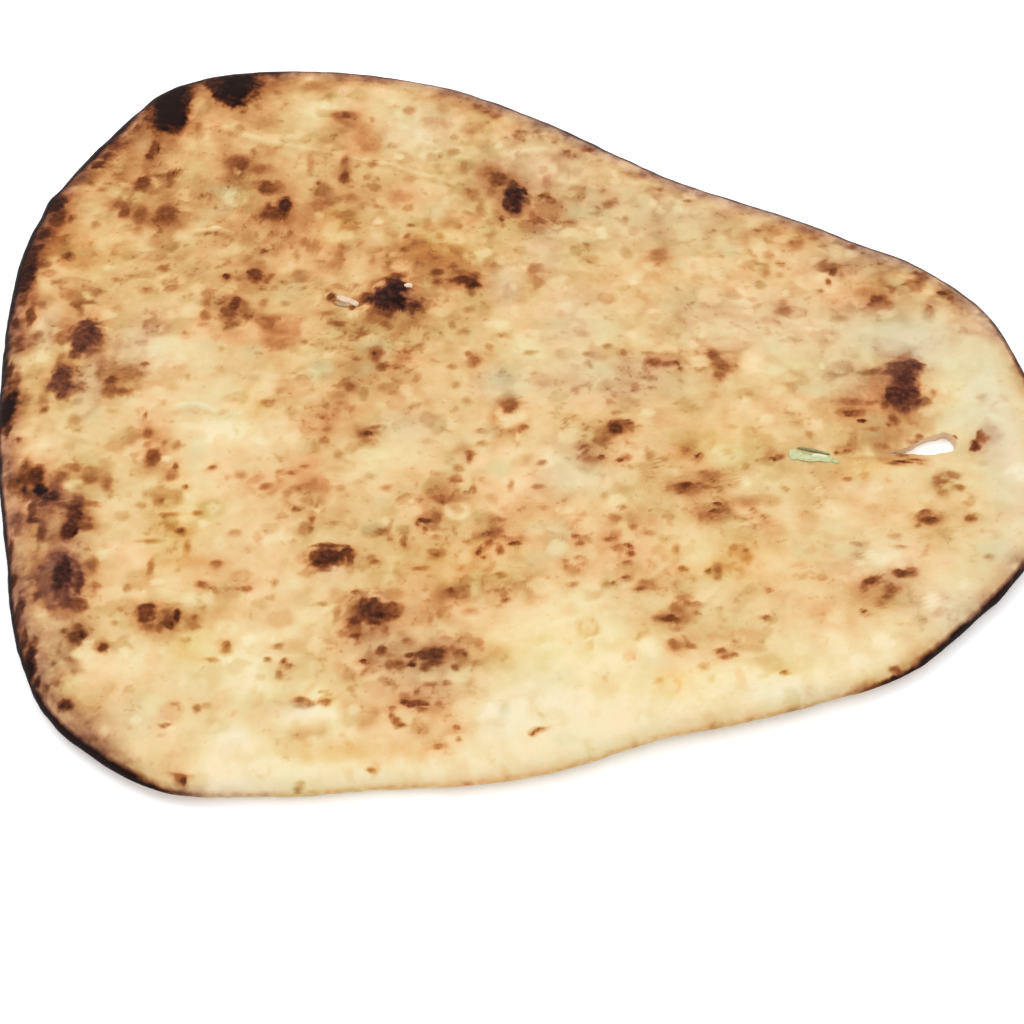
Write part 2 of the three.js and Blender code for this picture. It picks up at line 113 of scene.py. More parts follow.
MARKS = [
    # left end above the blisters, and the rim beside it
    (57, 205, 16, 18, 93), (57, 222, 16, 12, 80), (63, 215, 9, 10, 68), (71, 222, 5, 7, 72),
    (45, 236, 14, 14, 76), (40, 250, 9, 7, 84), (50, 252, 20, 12, 56), (42, 263, 9, 14, 66),
    (29, 274, 16, 36, 95), (22, 303, 10, 12, 76), (31, 318, 9, 19, 80), (43, 307, 9, 7, 58),
    (96, 224, 10, 9, 58), (84, 256, 18, 26, 50), (72, 296, 20, 12, 62), (74, 304, 9, 5, 68),
    (66, 323, 12, 10, 54), (15, 322, 10, 12, 78), (17, 343, 16, 14, 68), (15, 382, 10, 26, 66),
    (10, 372, 8, 20, 84), (28, 399, 11, 9, 56), (44, 403, 11, 13, 60), (45, 412, 9, 8, 72),
    (7, 410, 18, 34, 103), (6, 430, 8, 14, 86), (18, 440, 7, 5, 70), (61, 340, 12, 18, 66),
    (38, 338, 8, 10, 60), (75, 421, 14, 12, 54),
    # two left blisters and the cluster beside them
    (85, 338, 27, 34, 84), (91, 332, 10, 20, 93), (80, 350, 14, 9, 90), (96, 338, 14, 20, 77),
    (92, 352, 22, 9, 72), (72, 355, 11, 9, 73), (87, 323, 14, 8, 84), (60, 361, 8, 14, 64),
    (62, 380, 20, 26, 85), (63, 388, 34, 14, 80), (69, 388, 7, 8, 94), (62, 397, 12, 7, 80),
    (120, 380, 44, 34, 55), (124, 376, 36, 16, 66), (113, 383, 14, 7, 82),
    (101, 374, 11, 12, 70), (110, 392, 17, 14, 74), (123, 394, 16, 7, 76), (140, 375, 10, 7, 66),
    (113, 362, 9, 14, 58), (144, 365, 8, 7, 72), (115, 308, 10, 9, 50), (145, 324, 7, 9, 64),
    (118, 346, 9, 14, 50),
    # scorched cluster at the left edge
    (25, 468, 11, 14, 74), (38, 477, 13, 17, 86), (39, 479, 8, 10, 93), (28, 479, 14, 12, 78),
    (73, 467, 18, 10, 68), (62, 477, 13, 14, 72), (56, 488, 11, 16, 77), (31, 490, 8, 8, 66),
    (90, 478, 12, 10, 72), (88, 470, 20, 10, 60), (106, 483, 12, 12, 70), (110, 493, 8, 9, 56),
    (52, 500, 19, 11, 91), (45, 508, 15, 7, 85), (30, 498, 14, 10, 78), (34, 511, 10, 24, 80),
    (33, 523, 14, 8, 86), (62, 509, 28, 9, 78), (75, 515, 15, 24, 88), (69, 529, 13, 22, 90),
    (45, 513, 20, 12, 70), (83, 526, 18, 7, 78), (88, 504, 24, 7, 68), (41, 536, 8, 28, 72),
    (35, 560, 9, 9, 60), (56, 543, 14, 24, 62), (17, 532, 7, 12, 62), (80, 488, 16, 14, 54),
    (62, 582, 38, 50, 78), (64, 577, 16, 36, 94), (79, 584, 9, 28, 85), (71, 605, 30, 15, 79),
    (52, 610, 10, 10, 77), (57, 561, 16, 12, 79), (62, 616, 30, 12, 62), (91, 566, 13, 17, 73),
    (94, 587, 11, 9, 66), (126, 587, 8, 8, 60), (10, 484, 8, 11, 78), (8, 555, 6, 44, 80),
    (13, 580, 9, 15, 85), (19, 611, 10, 30, 86),
    # lower left corner
    (24, 640, 8, 22, 84), (35, 643, 10, 12, 74), (33, 655, 12, 14, 90), (29, 669, 15, 26, 103),
    (38, 683, 6, 9, 86), (46, 692, 8, 12, 70), (53, 665, 10, 6, 60), (58, 686, 14, 7, 58),
    (66, 708, 15, 11, 87), (75, 673, 10, 8, 60), (65, 633, 9, 8, 76), (75, 638, 13, 12, 84),
    (79, 645, 7, 7, 78), (103, 648, 9, 9, 83), (101, 646, 16, 14, 64), (92, 741, 11, 5, 74),
    (115, 622, 11, 6, 50), (165, 726, 16, 6, 66), (178, 775, 16, 6, 70), (183, 780, 8, 6, 88),
    (181, 779, 20, 10, 68), (175, 704, 12, 6, 54), (195, 709, 9, 8, 66), (205, 706, 10, 8, 56),
    (100, 748, 22, 12, 56), (187, 640, 12, 6, 48), (163, 618, 66, 28, 56),
    (145, 613, 20, 18, 84), (147, 607, 20, 7, 84), (144, 620, 14, 8, 84), (152, 620, 6, 5, 88),
    (149, 628, 16, 8, 75), (166, 613, 14, 6, 74), (170, 621, 20, 16, 78), (164, 624, 8, 6, 84),
    (178, 615, 7, 8, 87), (176, 620, 5, 5, 90), (171, 627, 10, 6, 86), (160, 629, 9, 8, 74),
    (194, 618, 8, 8, 70), (192, 625, 14, 8, 62),
    # middle of the left half
    (145, 415, 5, 9, 66), (148, 432, 10, 9, 75), (147, 442, 8, 8, 60), (130, 437, 12, 16, 54),
    (152, 456, 15, 17, 79), (155, 455, 5, 5, 86), (176, 445, 8, 9, 60), (172, 475, 14, 11, 66),
    (175, 466, 6, 10, 72), (184, 486, 7, 5, 74), (212, 466, 8, 5, 70), (145, 493, 8, 8, 54),
    (168, 513, 20, 4, 62), (165, 514, 8, 6, 66), (196, 513, 12, 5, 64), (178, 497, 12, 14, 52),
    (180, 530, 13, 8, 78), (150, 540, 24, 5, 58), (187, 547, 8, 16, 58), (150, 567, 9, 16, 64),
    (216, 563, 14, 7, 66), (201, 583, 15, 8, 73), (212, 586, 9, 4, 66), (243, 587, 14, 6, 66),
    (230, 586, 14, 5, 54), (265, 486, 14, 8, 66), (240, 474, 14, 8, 54), (235, 533, 14, 8, 50),
    (226, 645, 8, 7, 74), (226, 651, 12, 9, 60), (213, 660, 16, 6, 54), (278, 645, 13, 7, 62),
    (266, 660, 8, 6, 66), (284, 661, 8, 7, 78), (290, 667, 9, 5, 68), (279, 674, 9, 12, 62),
    (274, 580, 8, 9, 56), (321, 602, 14, 5, 54), (302, 701, 17, 7, 69), (311, 704, 12, 7, 62),
    (302, 706, 16, 9, 56), (327, 701, 17, 9, 63), (203, 606, 9, 6, 58), (336, 612, 10, 20, 58),
    # top left, with the two charred places on the rim
    (154, 149, 8, 14, 80), (151, 157, 9, 9, 84), (147, 165, 9, 26, 64), (143, 182, 14, 13, 82),
    (140, 185, 17, 12, 74), (150, 186, 10, 14, 66), (131, 197, 7, 18, 60),
    (122, 206, 22, 10, 72), (124, 213, 10, 9, 80), (140, 215, 13, 18, 76),
    (138, 228, 12, 10, 60), (167, 213, 19, 17, 80), (170, 176, 6, 9, 76), (138, 129, 7, 7, 72),
    (110, 214, 9, 18, 50), (194, 193, 9, 9, 52), (198, 127, 8, 10, 66), (199, 132, 10, 16, 52),
    (196, 217, 9, 9, 50), (197, 180, 8, 14, 50), (169, 108, 34, 46, 104), (176, 92, 30, 14, 104),
    (181, 116, 14, 30, 100), (187, 101, 8, 20, 92), (165, 126, 16, 14, 98),
    (115, 148, 22, 9, 74), (108, 158, 14, 9, 76), (98, 167, 12, 8, 80), (236, 87, 44, 32, 104),
    (234, 102, 26, 9, 97), (250, 88, 10, 14, 92), (213, 84, 16, 12, 92), (220, 95, 14, 12, 98),
    (265, 88, 14, 8, 58), (243, 110, 8, 6, 72), (238, 164, 25, 13, 78), (243, 167, 12, 8, 80),
    (259, 170, 24, 10, 70), (258, 185, 18, 9, 64), (268, 188, 18, 13, 81),
    (278, 186, 12, 10, 68), (262, 184, 42, 50, 50), (140, 152, 30, 50, 50),
    (150, 202, 30, 22, 50), (272, 214, 22, 12, 83), (285, 206, 12, 16, 93), (268, 206, 6, 8, 78),
    (282, 218, 8, 6, 80), (240, 190, 10, 8, 58), (245, 208, 18, 9, 58), (262, 122, 10, 14, 56),
    (240, 131, 9, 12, 56), (305, 217, 14, 18, 56), (345, 115, 22, 8, 72), (346, 116, 8, 5, 80),
    (329, 97, 12, 10, 54), (327, 140, 14, 8, 54), (362, 133, 18, 20, 56), (367, 147, 12, 8, 62),
    (374, 143, 20, 22, 54), (345, 164, 9, 13, 73), (344, 178, 10, 9, 81), (345, 172, 12, 24, 64),
    (310, 165, 8, 20, 56), (319, 182, 5, 4, 82), (322, 187, 8, 9, 66), (319, 206, 12, 7, 64),
    (350, 196, 14, 7, 64), (346, 213, 14, 8, 64), (375, 187, 12, 6, 58), (397, 195, 22, 12, 54),
    (410, 180, 14, 7, 52), (412, 224, 9, 4, 68), (427, 222, 8, 13, 54), (444, 223, 10, 6, 54),
    (440, 235, 9, 8, 54), (414, 242, 8, 6, 75), (407, 236, 8, 7, 70), (405, 248, 12, 7, 74),
    (420, 243, 14, 9, 64), (443, 111, 11, 11, 50), (464, 165, 8, 10, 62), (452, 152, 12, 8, 55),
    (469, 190, 6, 8, 68), (478, 108, 10, 5, 66),
    # below them: small spots, the burst blister and its neighbours
    (227, 275, 7, 6, 88), (254, 275, 13, 12, 85), (250, 271, 8, 5, 85), (240, 277, 13, 6, 64),
    (258, 263, 11, 13, 60), (245, 285, 16, 13, 55), (235, 307, 9, 12, 85), (237, 301, 12, 6, 83),
    (230, 315, 9, 10, 79), (244, 306, 9, 10, 70), (208, 304, 5, 9, 68), (208, 295, 11, 15, 60),
    (206, 316, 10, 11, 68), (205, 325, 14, 5, 54), (263, 303, 9, 9, 62), (285, 303, 12, 5, 56),
    (275, 286, 9, 6, 56), (262, 322, 13, 7, 62), (268, 340, 13, 9, 60), (281, 343, 20, 12, 62),
    (295, 332, 10, 20, 54), (303, 341, 8, 7, 60), (304, 241, 9, 8, 64), (295, 240, 13, 9, 54),
    (248, 237, 18, 14, 57), (297, 255, 8, 10, 56), (320, 260, 13, 5, 60), (298, 271, 9, 7, 60),
    (337, 285, 12, 5, 56), (340, 252, 7, 8, 64), (397, 276, 15, 6, 83), (394, 283, 14, 8, 90),
    (396, 291, 22, 14, 97), (383, 296, 17, 13, 94), (391, 303, 30, 12, 98),
    (399, 309, 22, 6, 94), (413, 306, 13, 5, 87), (421, 310, 6, 5, 78), (427, 304, 8, 7, 62),
    (378, 290, 9, 6, 82), (366, 295, 13, 5, 80), (386, 313, 14, 7, 80), (376, 318, 13, 5, 66),
    (387, 323, 9, 5, 70), (332, 298, 9, 9, 84), (337, 303, 8, 5, 70), (352, 309, 8, 3, 80),
    (328, 313, 13, 4, 66), (355, 284, 10, 6, 56), (437, 271, 15, 8, 80), (438, 280, 10, 8, 77),
    (440, 262, 13, 6, 64), (425, 256, 17, 9, 63), (453, 265, 12, 8, 72), (463, 280, 26, 9, 87),
    (472, 285, 16, 7, 92), (474, 275, 16, 6, 74), (460, 272, 20, 9, 72), (446, 283, 30, 12, 60),
    (450, 272, 70, 36, 55), (412, 248, 44, 24, 56), (452, 324, 8, 8, 58), (535, 270, 16, 14, 62),
    (538, 281, 14, 9, 57), (348, 365, 16, 8, 54), (468, 308, 10, 7, 58),
    # the dark spot at the top, and the top edge
    (492, 170, 26, 18, 58), (498, 176, 15, 13, 81), (489, 171, 12, 9, 70), (514, 183, 9, 10, 85),
    (514, 196, 19, 24, 95), (524, 190, 7, 10, 92), (507, 203, 11, 11, 90), (516, 209, 13, 4, 92),
    (526, 200, 10, 16, 70), (492, 189, 9, 8, 68), (474, 192, 12, 11, 62), (480, 205, 11, 20, 59),
    (548, 206, 20, 18, 60), (547, 180, 9, 12, 58), (525, 224, 15, 10, 62), (533, 213, 8, 6, 68),
    (577, 203, 11, 9, 52), (589, 152, 12, 5, 76), (626, 220, 8, 7, 54), (661, 253, 18, 9, 54),
    (688, 202, 10, 4, 66), (728, 232, 12, 7, 52),
    # upper middle
    (474, 359, 15, 12, 70), (468, 353, 10, 5, 66), (452, 366, 12, 6, 58), (463, 332, 13, 7, 58),
    (455, 384, 9, 7, 58), (466, 400, 10, 9, 52), (530, 353, 15, 5, 52), (508, 404, 14, 7, 72),
    (508, 410, 8, 7, 72), (524, 427, 9, 5, 70), (480, 430, 13, 4, 56), (483, 441, 13, 6, 56),
    (470, 450, 11, 6, 70), (470, 454, 6, 9, 78), (458, 466, 13, 7, 58), (541, 461, 11, 8, 64),
    (543, 384, 12, 6, 50), (566, 421, 5, 13, 54), (588, 355, 11, 5, 58), (608, 347, 11, 6, 60),
    (624, 353, 7, 7, 66), (614, 429, 12, 12, 87), (620, 427, 22, 13, 76), (629, 425, 8, 10, 76),
    (608, 434, 12, 8, 70), (616, 412, 12, 6, 58), (599, 436, 12, 14, 62), (583, 446, 12, 4, 74),
    (585, 452, 6, 4, 74), (590, 457, 19, 9, 66), (601, 455, 8, 5, 82), (620, 458, 8, 4, 80),
    (625, 456, 13, 7, 62), (654, 365, 18, 8, 76), (668, 366, 18, 6, 71), (676, 365, 8, 6, 79),
    (680, 371, 8, 6, 70), (668, 358, 30, 14, 52), (713, 355, 12, 8, 77), (722, 367, 18, 15, 74),
    (719, 376, 13, 9, 72), (735, 366, 7, 8, 58),
    # lower middle, left part
    (349, 387, 9, 8, 75), (349, 388, 18, 10, 60), (338, 396, 16, 10, 58), (340, 404, 12, 7, 60),
    (323, 417, 9, 4, 70), (327, 428, 10, 5, 66), (364, 431, 18, 7, 75), (368, 430, 8, 5, 84),
    (374, 426, 20, 4, 67), (365, 438, 13, 6, 64), (338, 452, 10, 10, 55), (304, 464, 11, 4, 68),
    (292, 471, 9, 5, 70), (315, 480, 6, 6, 66), (308, 485, 16, 8, 62), (299, 488, 9, 6, 70),
    (322, 485, 14, 14, 56), (340, 487, 10, 6, 58), (286, 492, 8, 7, 58), (387, 488, 12, 8, 54),
    (312, 517, 5, 6, 78), (305, 524, 12, 8, 60), (310, 528, 4, 8, 74), (302, 530, 10, 8, 58),
    (333, 522, 18, 4, 56), (390, 538, 6, 6, 66), (328, 557, 36, 18, 88), (333, 557, 28, 12, 91),
    (322, 563, 22, 9, 92), (313, 556, 9, 10, 79), (346, 551, 15, 8, 86), (350, 558, 6, 11, 82),
    (326, 570, 16, 5, 74), (327, 546, 34, 5, 76), (371, 612, 30, 19, 87), (377, 616, 16, 5, 97),
    (366, 611, 8, 5, 97), (363, 603, 9, 8, 83), (375, 602, 8, 6, 87), (391, 607, 10, 9, 80),
    (387, 614, 9, 7, 80), (355, 621, 15, 6, 87), (374, 623, 16, 7, 85), (354, 626, 16, 8, 74),
    (347, 633, 15, 8, 65), (355, 634, 9, 5, 82), (355, 591, 8, 5, 71), (378, 593, 12, 5, 58),
    (433, 656, 22, 15, 86), (430, 658, 26, 8, 87), (444, 654, 11, 15, 76), (420, 655, 9, 4, 82),
    (432, 665, 20, 5, 80), (397, 664, 18, 9, 77), (388, 664, 7, 10, 72), (410, 655, 9, 4, 84),
    (411, 664, 11, 4, 87), (425, 669, 11, 4, 76), (381, 649, 11, 8, 79), (363, 660, 9, 5, 84),
    (369, 655, 7, 9, 62), (406, 640, 11, 7, 70), (420, 661, 64, 24, 55), (455, 669, 9, 4, 72),
    (446, 638, 13, 4, 56), (373, 561, 15, 5, 73), (370, 557, 11, 9, 62), (404, 538, 8, 8, 68),
    (405, 543, 6, 5, 74), (421, 567, 14, 5, 73), (436, 551, 20, 7, 62), (437, 553, 11, 4, 75),
    (450, 590, 13, 10, 74), (451, 588, 6, 7, 81), (461, 588, 12, 6, 68), (466, 593, 9, 7, 63),
    (430, 618, 5, 13, 58), (425, 610, 13, 5, 54), (405, 701, 9, 6, 83), (409, 705, 7, 5, 83),
    (423, 704, 13, 6, 82), (415, 702, 13, 5, 79), (437, 705, 8, 5, 66), (422, 711, 9, 6, 72),
    (393, 708, 9, 4, 70), (417, 692, 6, 4, 74), (428, 684, 16, 4, 68), (446, 683, 10, 4, 66),
    (392, 716, 6, 7, 77), (396, 722, 9, 9, 74), (401, 726, 14, 6, 72), (457, 729, 8, 5, 68),
    (458, 742, 6, 6, 66), (438, 748, 11, 3, 74), (372, 769, 12, 5, 62), (298, 784, 11, 6, 60),
    (541, 731, 17, 6, 68), (531, 736, 9, 6, 70), (470, 610, 18, 8, 52), (470, 642, 16, 8, 54),
    # lower middle, the flecked band
    (440, 497, 20, 11, 68), (442, 501, 8, 7, 77), (430, 492, 11, 6, 62), (474, 488, 7, 9, 66),
    (466, 492, 9, 6, 62), (427, 520, 14, 4, 84), (418, 524, 6, 6, 78), (426, 528, 5, 6, 76),
    (436, 516, 9, 12, 72), (430, 516, 20, 9, 60), (435, 526, 11, 8, 60), (435, 537, 12, 5, 58),
    (455, 529, 6, 11, 54), (494, 533, 7, 8, 78), (498, 531, 10, 12, 67), (504, 535, 7, 5, 66),
    (488, 542, 10, 8, 73), (481, 547, 8, 6, 72), (478, 551, 7, 5, 82), (484, 555, 5, 5, 78),
    (499, 548, 8, 10, 73), (516, 542, 16, 4, 83), (515, 537, 24, 6, 58), (503, 592, 10, 8, 62),
    (506, 599, 10, 5, 72), (538, 485, 16, 4, 62), (545, 506, 13, 5, 52), (510, 483, 6, 11, 54),
    (576, 535, 11, 5, 75), (580, 542, 10, 5, 71), (586, 538, 12, 8, 58), (578, 555, 10, 6, 58),
    (610, 538, 14, 5, 73), (629, 545, 12, 4, 79), (618, 547, 13, 6, 64), (630, 552, 9, 7, 78),
    (628, 561, 12, 5, 68), (634, 526, 9, 6, 64), (647, 532, 15, 4, 60), (626, 577, 10, 5, 74),
    (614, 582, 4, 4, 76), (606, 583, 13, 8, 57), (641, 588, 16, 5, 74), (645, 583, 17, 8, 60),
    (655, 588, 10, 6, 56), (573, 583, 14, 6, 60), (675, 548, 8, 9, 58), (683, 567, 13, 6, 66),
    (708, 569, 6, 5, 74), (717, 567, 12, 10, 68), (718, 574, 10, 8, 62), (670, 618, 14, 7, 82),
    (664, 618, 20, 8, 74), (678, 620, 18, 10, 71), (676, 628, 12, 6, 58), (678, 610, 11, 8, 68),
    (687, 603, 12, 8, 69), (697, 603, 14, 6, 60), (696, 612, 10, 5, 68), (675, 646, 18, 10, 66),
    (672, 642, 11, 7, 68), (690, 645, 13, 6, 64), (685, 449, 9, 6, 67), (687, 447, 20, 13, 55),
    (697, 455, 5, 4, 86), (699, 454, 8, 7, 68), (665, 457, 10, 6, 58), (650, 455, 11, 9, 58),
    (685, 486, 16, 7, 84), (679, 488, 13, 10, 78), (680, 493, 6, 5, 74), (690, 490, 18, 9, 71),
    (670, 487, 11, 8, 65), (698, 485, 8, 6, 76), (706, 487, 14, 6, 69), (712, 480, 5, 4, 82),
    (711, 476, 22, 14, 67), (703, 473, 8, 8, 69), (721, 488, 8, 8, 63), (697, 482, 50, 26, 52),
    (716, 505, 9, 3, 83), (712, 513, 6, 4, 85), (717, 512, 10, 4, 79), (713, 518, 6, 6, 72),
    (725, 510, 12, 9, 73), (703, 516, 11, 8, 67), (712, 514, 28, 16, 60), (745, 501, 24, 12, 58),
    (753, 509, 7, 6, 70), (763, 517, 8, 7, 66), (773, 458, 9, 4, 82), (780, 456, 10, 4, 73),
    (745, 465, 8, 8, 56), (785, 487, 9, 9, 54), (722, 652, 14, 4, 75), (726, 657, 14, 6, 69),
    (733, 655, 9, 6, 64), (784, 675, 12, 5, 67), (765, 616, 14, 3, 68), (770, 590, 9, 4, 68),
    (745, 549, 10, 4, 68), (747, 557, 13, 10, 57),
    # the large scorch at the right, the tear's edges and the right end
    (912, 369, 26, 14, 85), (904, 382, 25, 36, 87), (900, 397, 30, 21, 89),
    (893, 370, 17, 11, 80), (882, 392, 44, 44, 60), (862, 408, 56, 52, 54),
    (880, 430, 50, 34, 52), (885, 373, 14, 6, 75), (872, 371, 24, 9, 72), (850, 401, 26, 8, 69),
    (888, 396, 8, 12, 87), (885, 403, 9, 14, 76), (894, 416, 12, 8, 75), (890, 421, 9, 4, 75),
    (917, 403, 18, 7, 77), (925, 400, 13, 5, 69), (932, 393, 7, 8, 60), (916, 396, 9, 7, 75),
    (873, 402, 20, 4, 69), (858, 397, 13, 5, 60), (863, 386, 10, 6, 58), (853, 411, 25, 7, 76),
    (848, 412, 8, 5, 81), (862, 419, 8, 4, 90), (874, 427, 15, 4, 66), (855, 437, 12, 22, 60),
    (885, 440, 15, 5, 64), (888, 430, 9, 14, 57), (847, 448, 8, 5, 75), (837, 449, 7, 5, 78),
    (921, 427, 8, 6, 66), (922, 432, 18, 4, 64), (868, 412, 56, 44, 46), (905, 446, 14, 6, 70),
    (904, 457, 16, 5, 84), (896, 461, 16, 5, 72), (916, 452, 18, 4, 76), (920, 458, 8, 6, 68),
    (943, 433, 16, 6, 60), (955, 429, 9, 4, 70), (976, 443, 9, 10, 86), (980, 435, 5, 10, 78),
    (984, 440, 9, 8, 72), (988, 434, 20, 20, 52), (811, 434, 8, 7, 56), (833, 273, 8, 7, 82),
    (832, 268, 12, 8, 71), (829, 281, 7, 7, 74), (841, 275, 6, 6, 66), (850, 272, 12, 8, 54),
    (851, 249, 11, 7, 68), (912, 292, 12, 8, 62), (877, 299, 12, 7, 81), (883, 298, 9, 5, 75),
    (873, 303, 9, 5, 74), (875, 297, 26, 18, 60), (784, 308, 16, 9, 67), (659, 253, 15, 11, 64),
    (610, 203, 13, 8, 67), (988, 560, 13, 8, 58), (840, 315, 16, 8, 55), (850, 305, 13, 11, 52),
    (765, 270, 10, 13, 56), (768, 256, 11, 12, 52), (813, 240, 12, 9, 62), (941, 298, 10, 4, 86),
    (949, 303, 7, 5, 71), (928, 313, 7, 6, 68), (928, 318, 13, 13, 54), (982, 400, 14, 8, 46),
    (924, 513, 14, 5, 75), (927, 521, 18, 6, 79), (933, 519, 8, 5, 86), (922, 517, 12, 9, 69),
    (918, 526, 10, 4, 67), (970, 519, 10, 7, 74), (973, 519, 6, 7, 68), (947, 481, 15, 3, 68),
    (960, 486, 14, 8, 66), (938, 480, 11, 14, 66), (952, 473, 18, 9, 64), (945, 491, 14, 7, 62),
    (848, 477, 12, 5, 62), (855, 542, 12, 5, 58), (900, 545, 15, 5, 56), (895, 535, 13, 7, 52),
    (901, 574, 16, 9, 82), (911, 573, 14, 11, 74), (896, 571, 12, 7, 66), (870, 582, 15, 9, 80),
    (877, 580, 9, 8, 73), (865, 588, 9, 11, 71), (891, 590, 16, 11, 77), (888, 596, 13, 8, 74),
    (882, 586, 60, 32, 50), (864, 611, 6, 3, 82), (895, 668, 12, 6, 74), (897, 675, 9, 5, 90),
]
BROWN_FROM, DARK_FROM = 0.62, 0.79  # depths from which a mark is drawn as brown, and as dark
# The glow round marks: from which browning in percent it begins and is whole, how much
# wider than the mark it is, and what it adds to the toasting and takes off the yellow.
HALO = {"percent": (48, 88), "wider": 2.3, "outer": 1.4, "toast": 0.23, "lean": 0.4}

# Small folds and lips of the crust: their line, how much they stand out, half width in mm. Each
# stands out in relief, and also gets a painted highlight along it and painted shade on its near
# side.
RIDGES = [
    ([(225, 130), (250, 140), (278, 145)], 0.7, 1.5), ([(278, 145), (336, 154)], 0.5, 1.3),
    ([(345, 158), (392, 166), (438, 179)], 0.55, 1.4), ([(500, 156), (545, 152)], 0.5, 1.5),
    ([(196, 229), (214, 226), (228, 233)], 0.9, 1.2),
    ([(176, 406), (200, 402), (218, 409)], 0.9, 1.5),
    ([(160, 398), (142, 416)], 0.4, 1.2), ([(60, 428), (84, 436)], 0.6, 1.4),
    ([(208, 292), (216, 262), (226, 276)], 0.35, 1.0), ([(430, 150), (470, 158)], 0.4, 1.2),
    ([(844, 448), (862, 449), (883, 451)], 0.5, 1.1), ([(560, 180), (600, 190)], 0.35, 1.2),
    ([(250, 372), (290, 376), (330, 372)], 0.35, 1.3), ([(345, 440), (352, 462)], 0.4, 1.0),
    ([(640, 582), (662, 570), (672, 560)], 0.5, 1.0),
    ([(500, 700), (530, 690), (570, 660)], 0.4, 2.0),
    ([(560, 622), (600, 612), (640, 616)], 0.3, 1.4), ([(780, 334), (800, 331)], 0.35, 0.9),
    ([(700, 600), (720, 585)], 0.4, 1.0), ([(420, 330), (452, 340)], 0.3, 1.2),
    ([(110, 480), (116, 520), (108, 560)], 0.35, 1.6), ([(420, 470), (470, 466)], 0.3, 1.3),
]
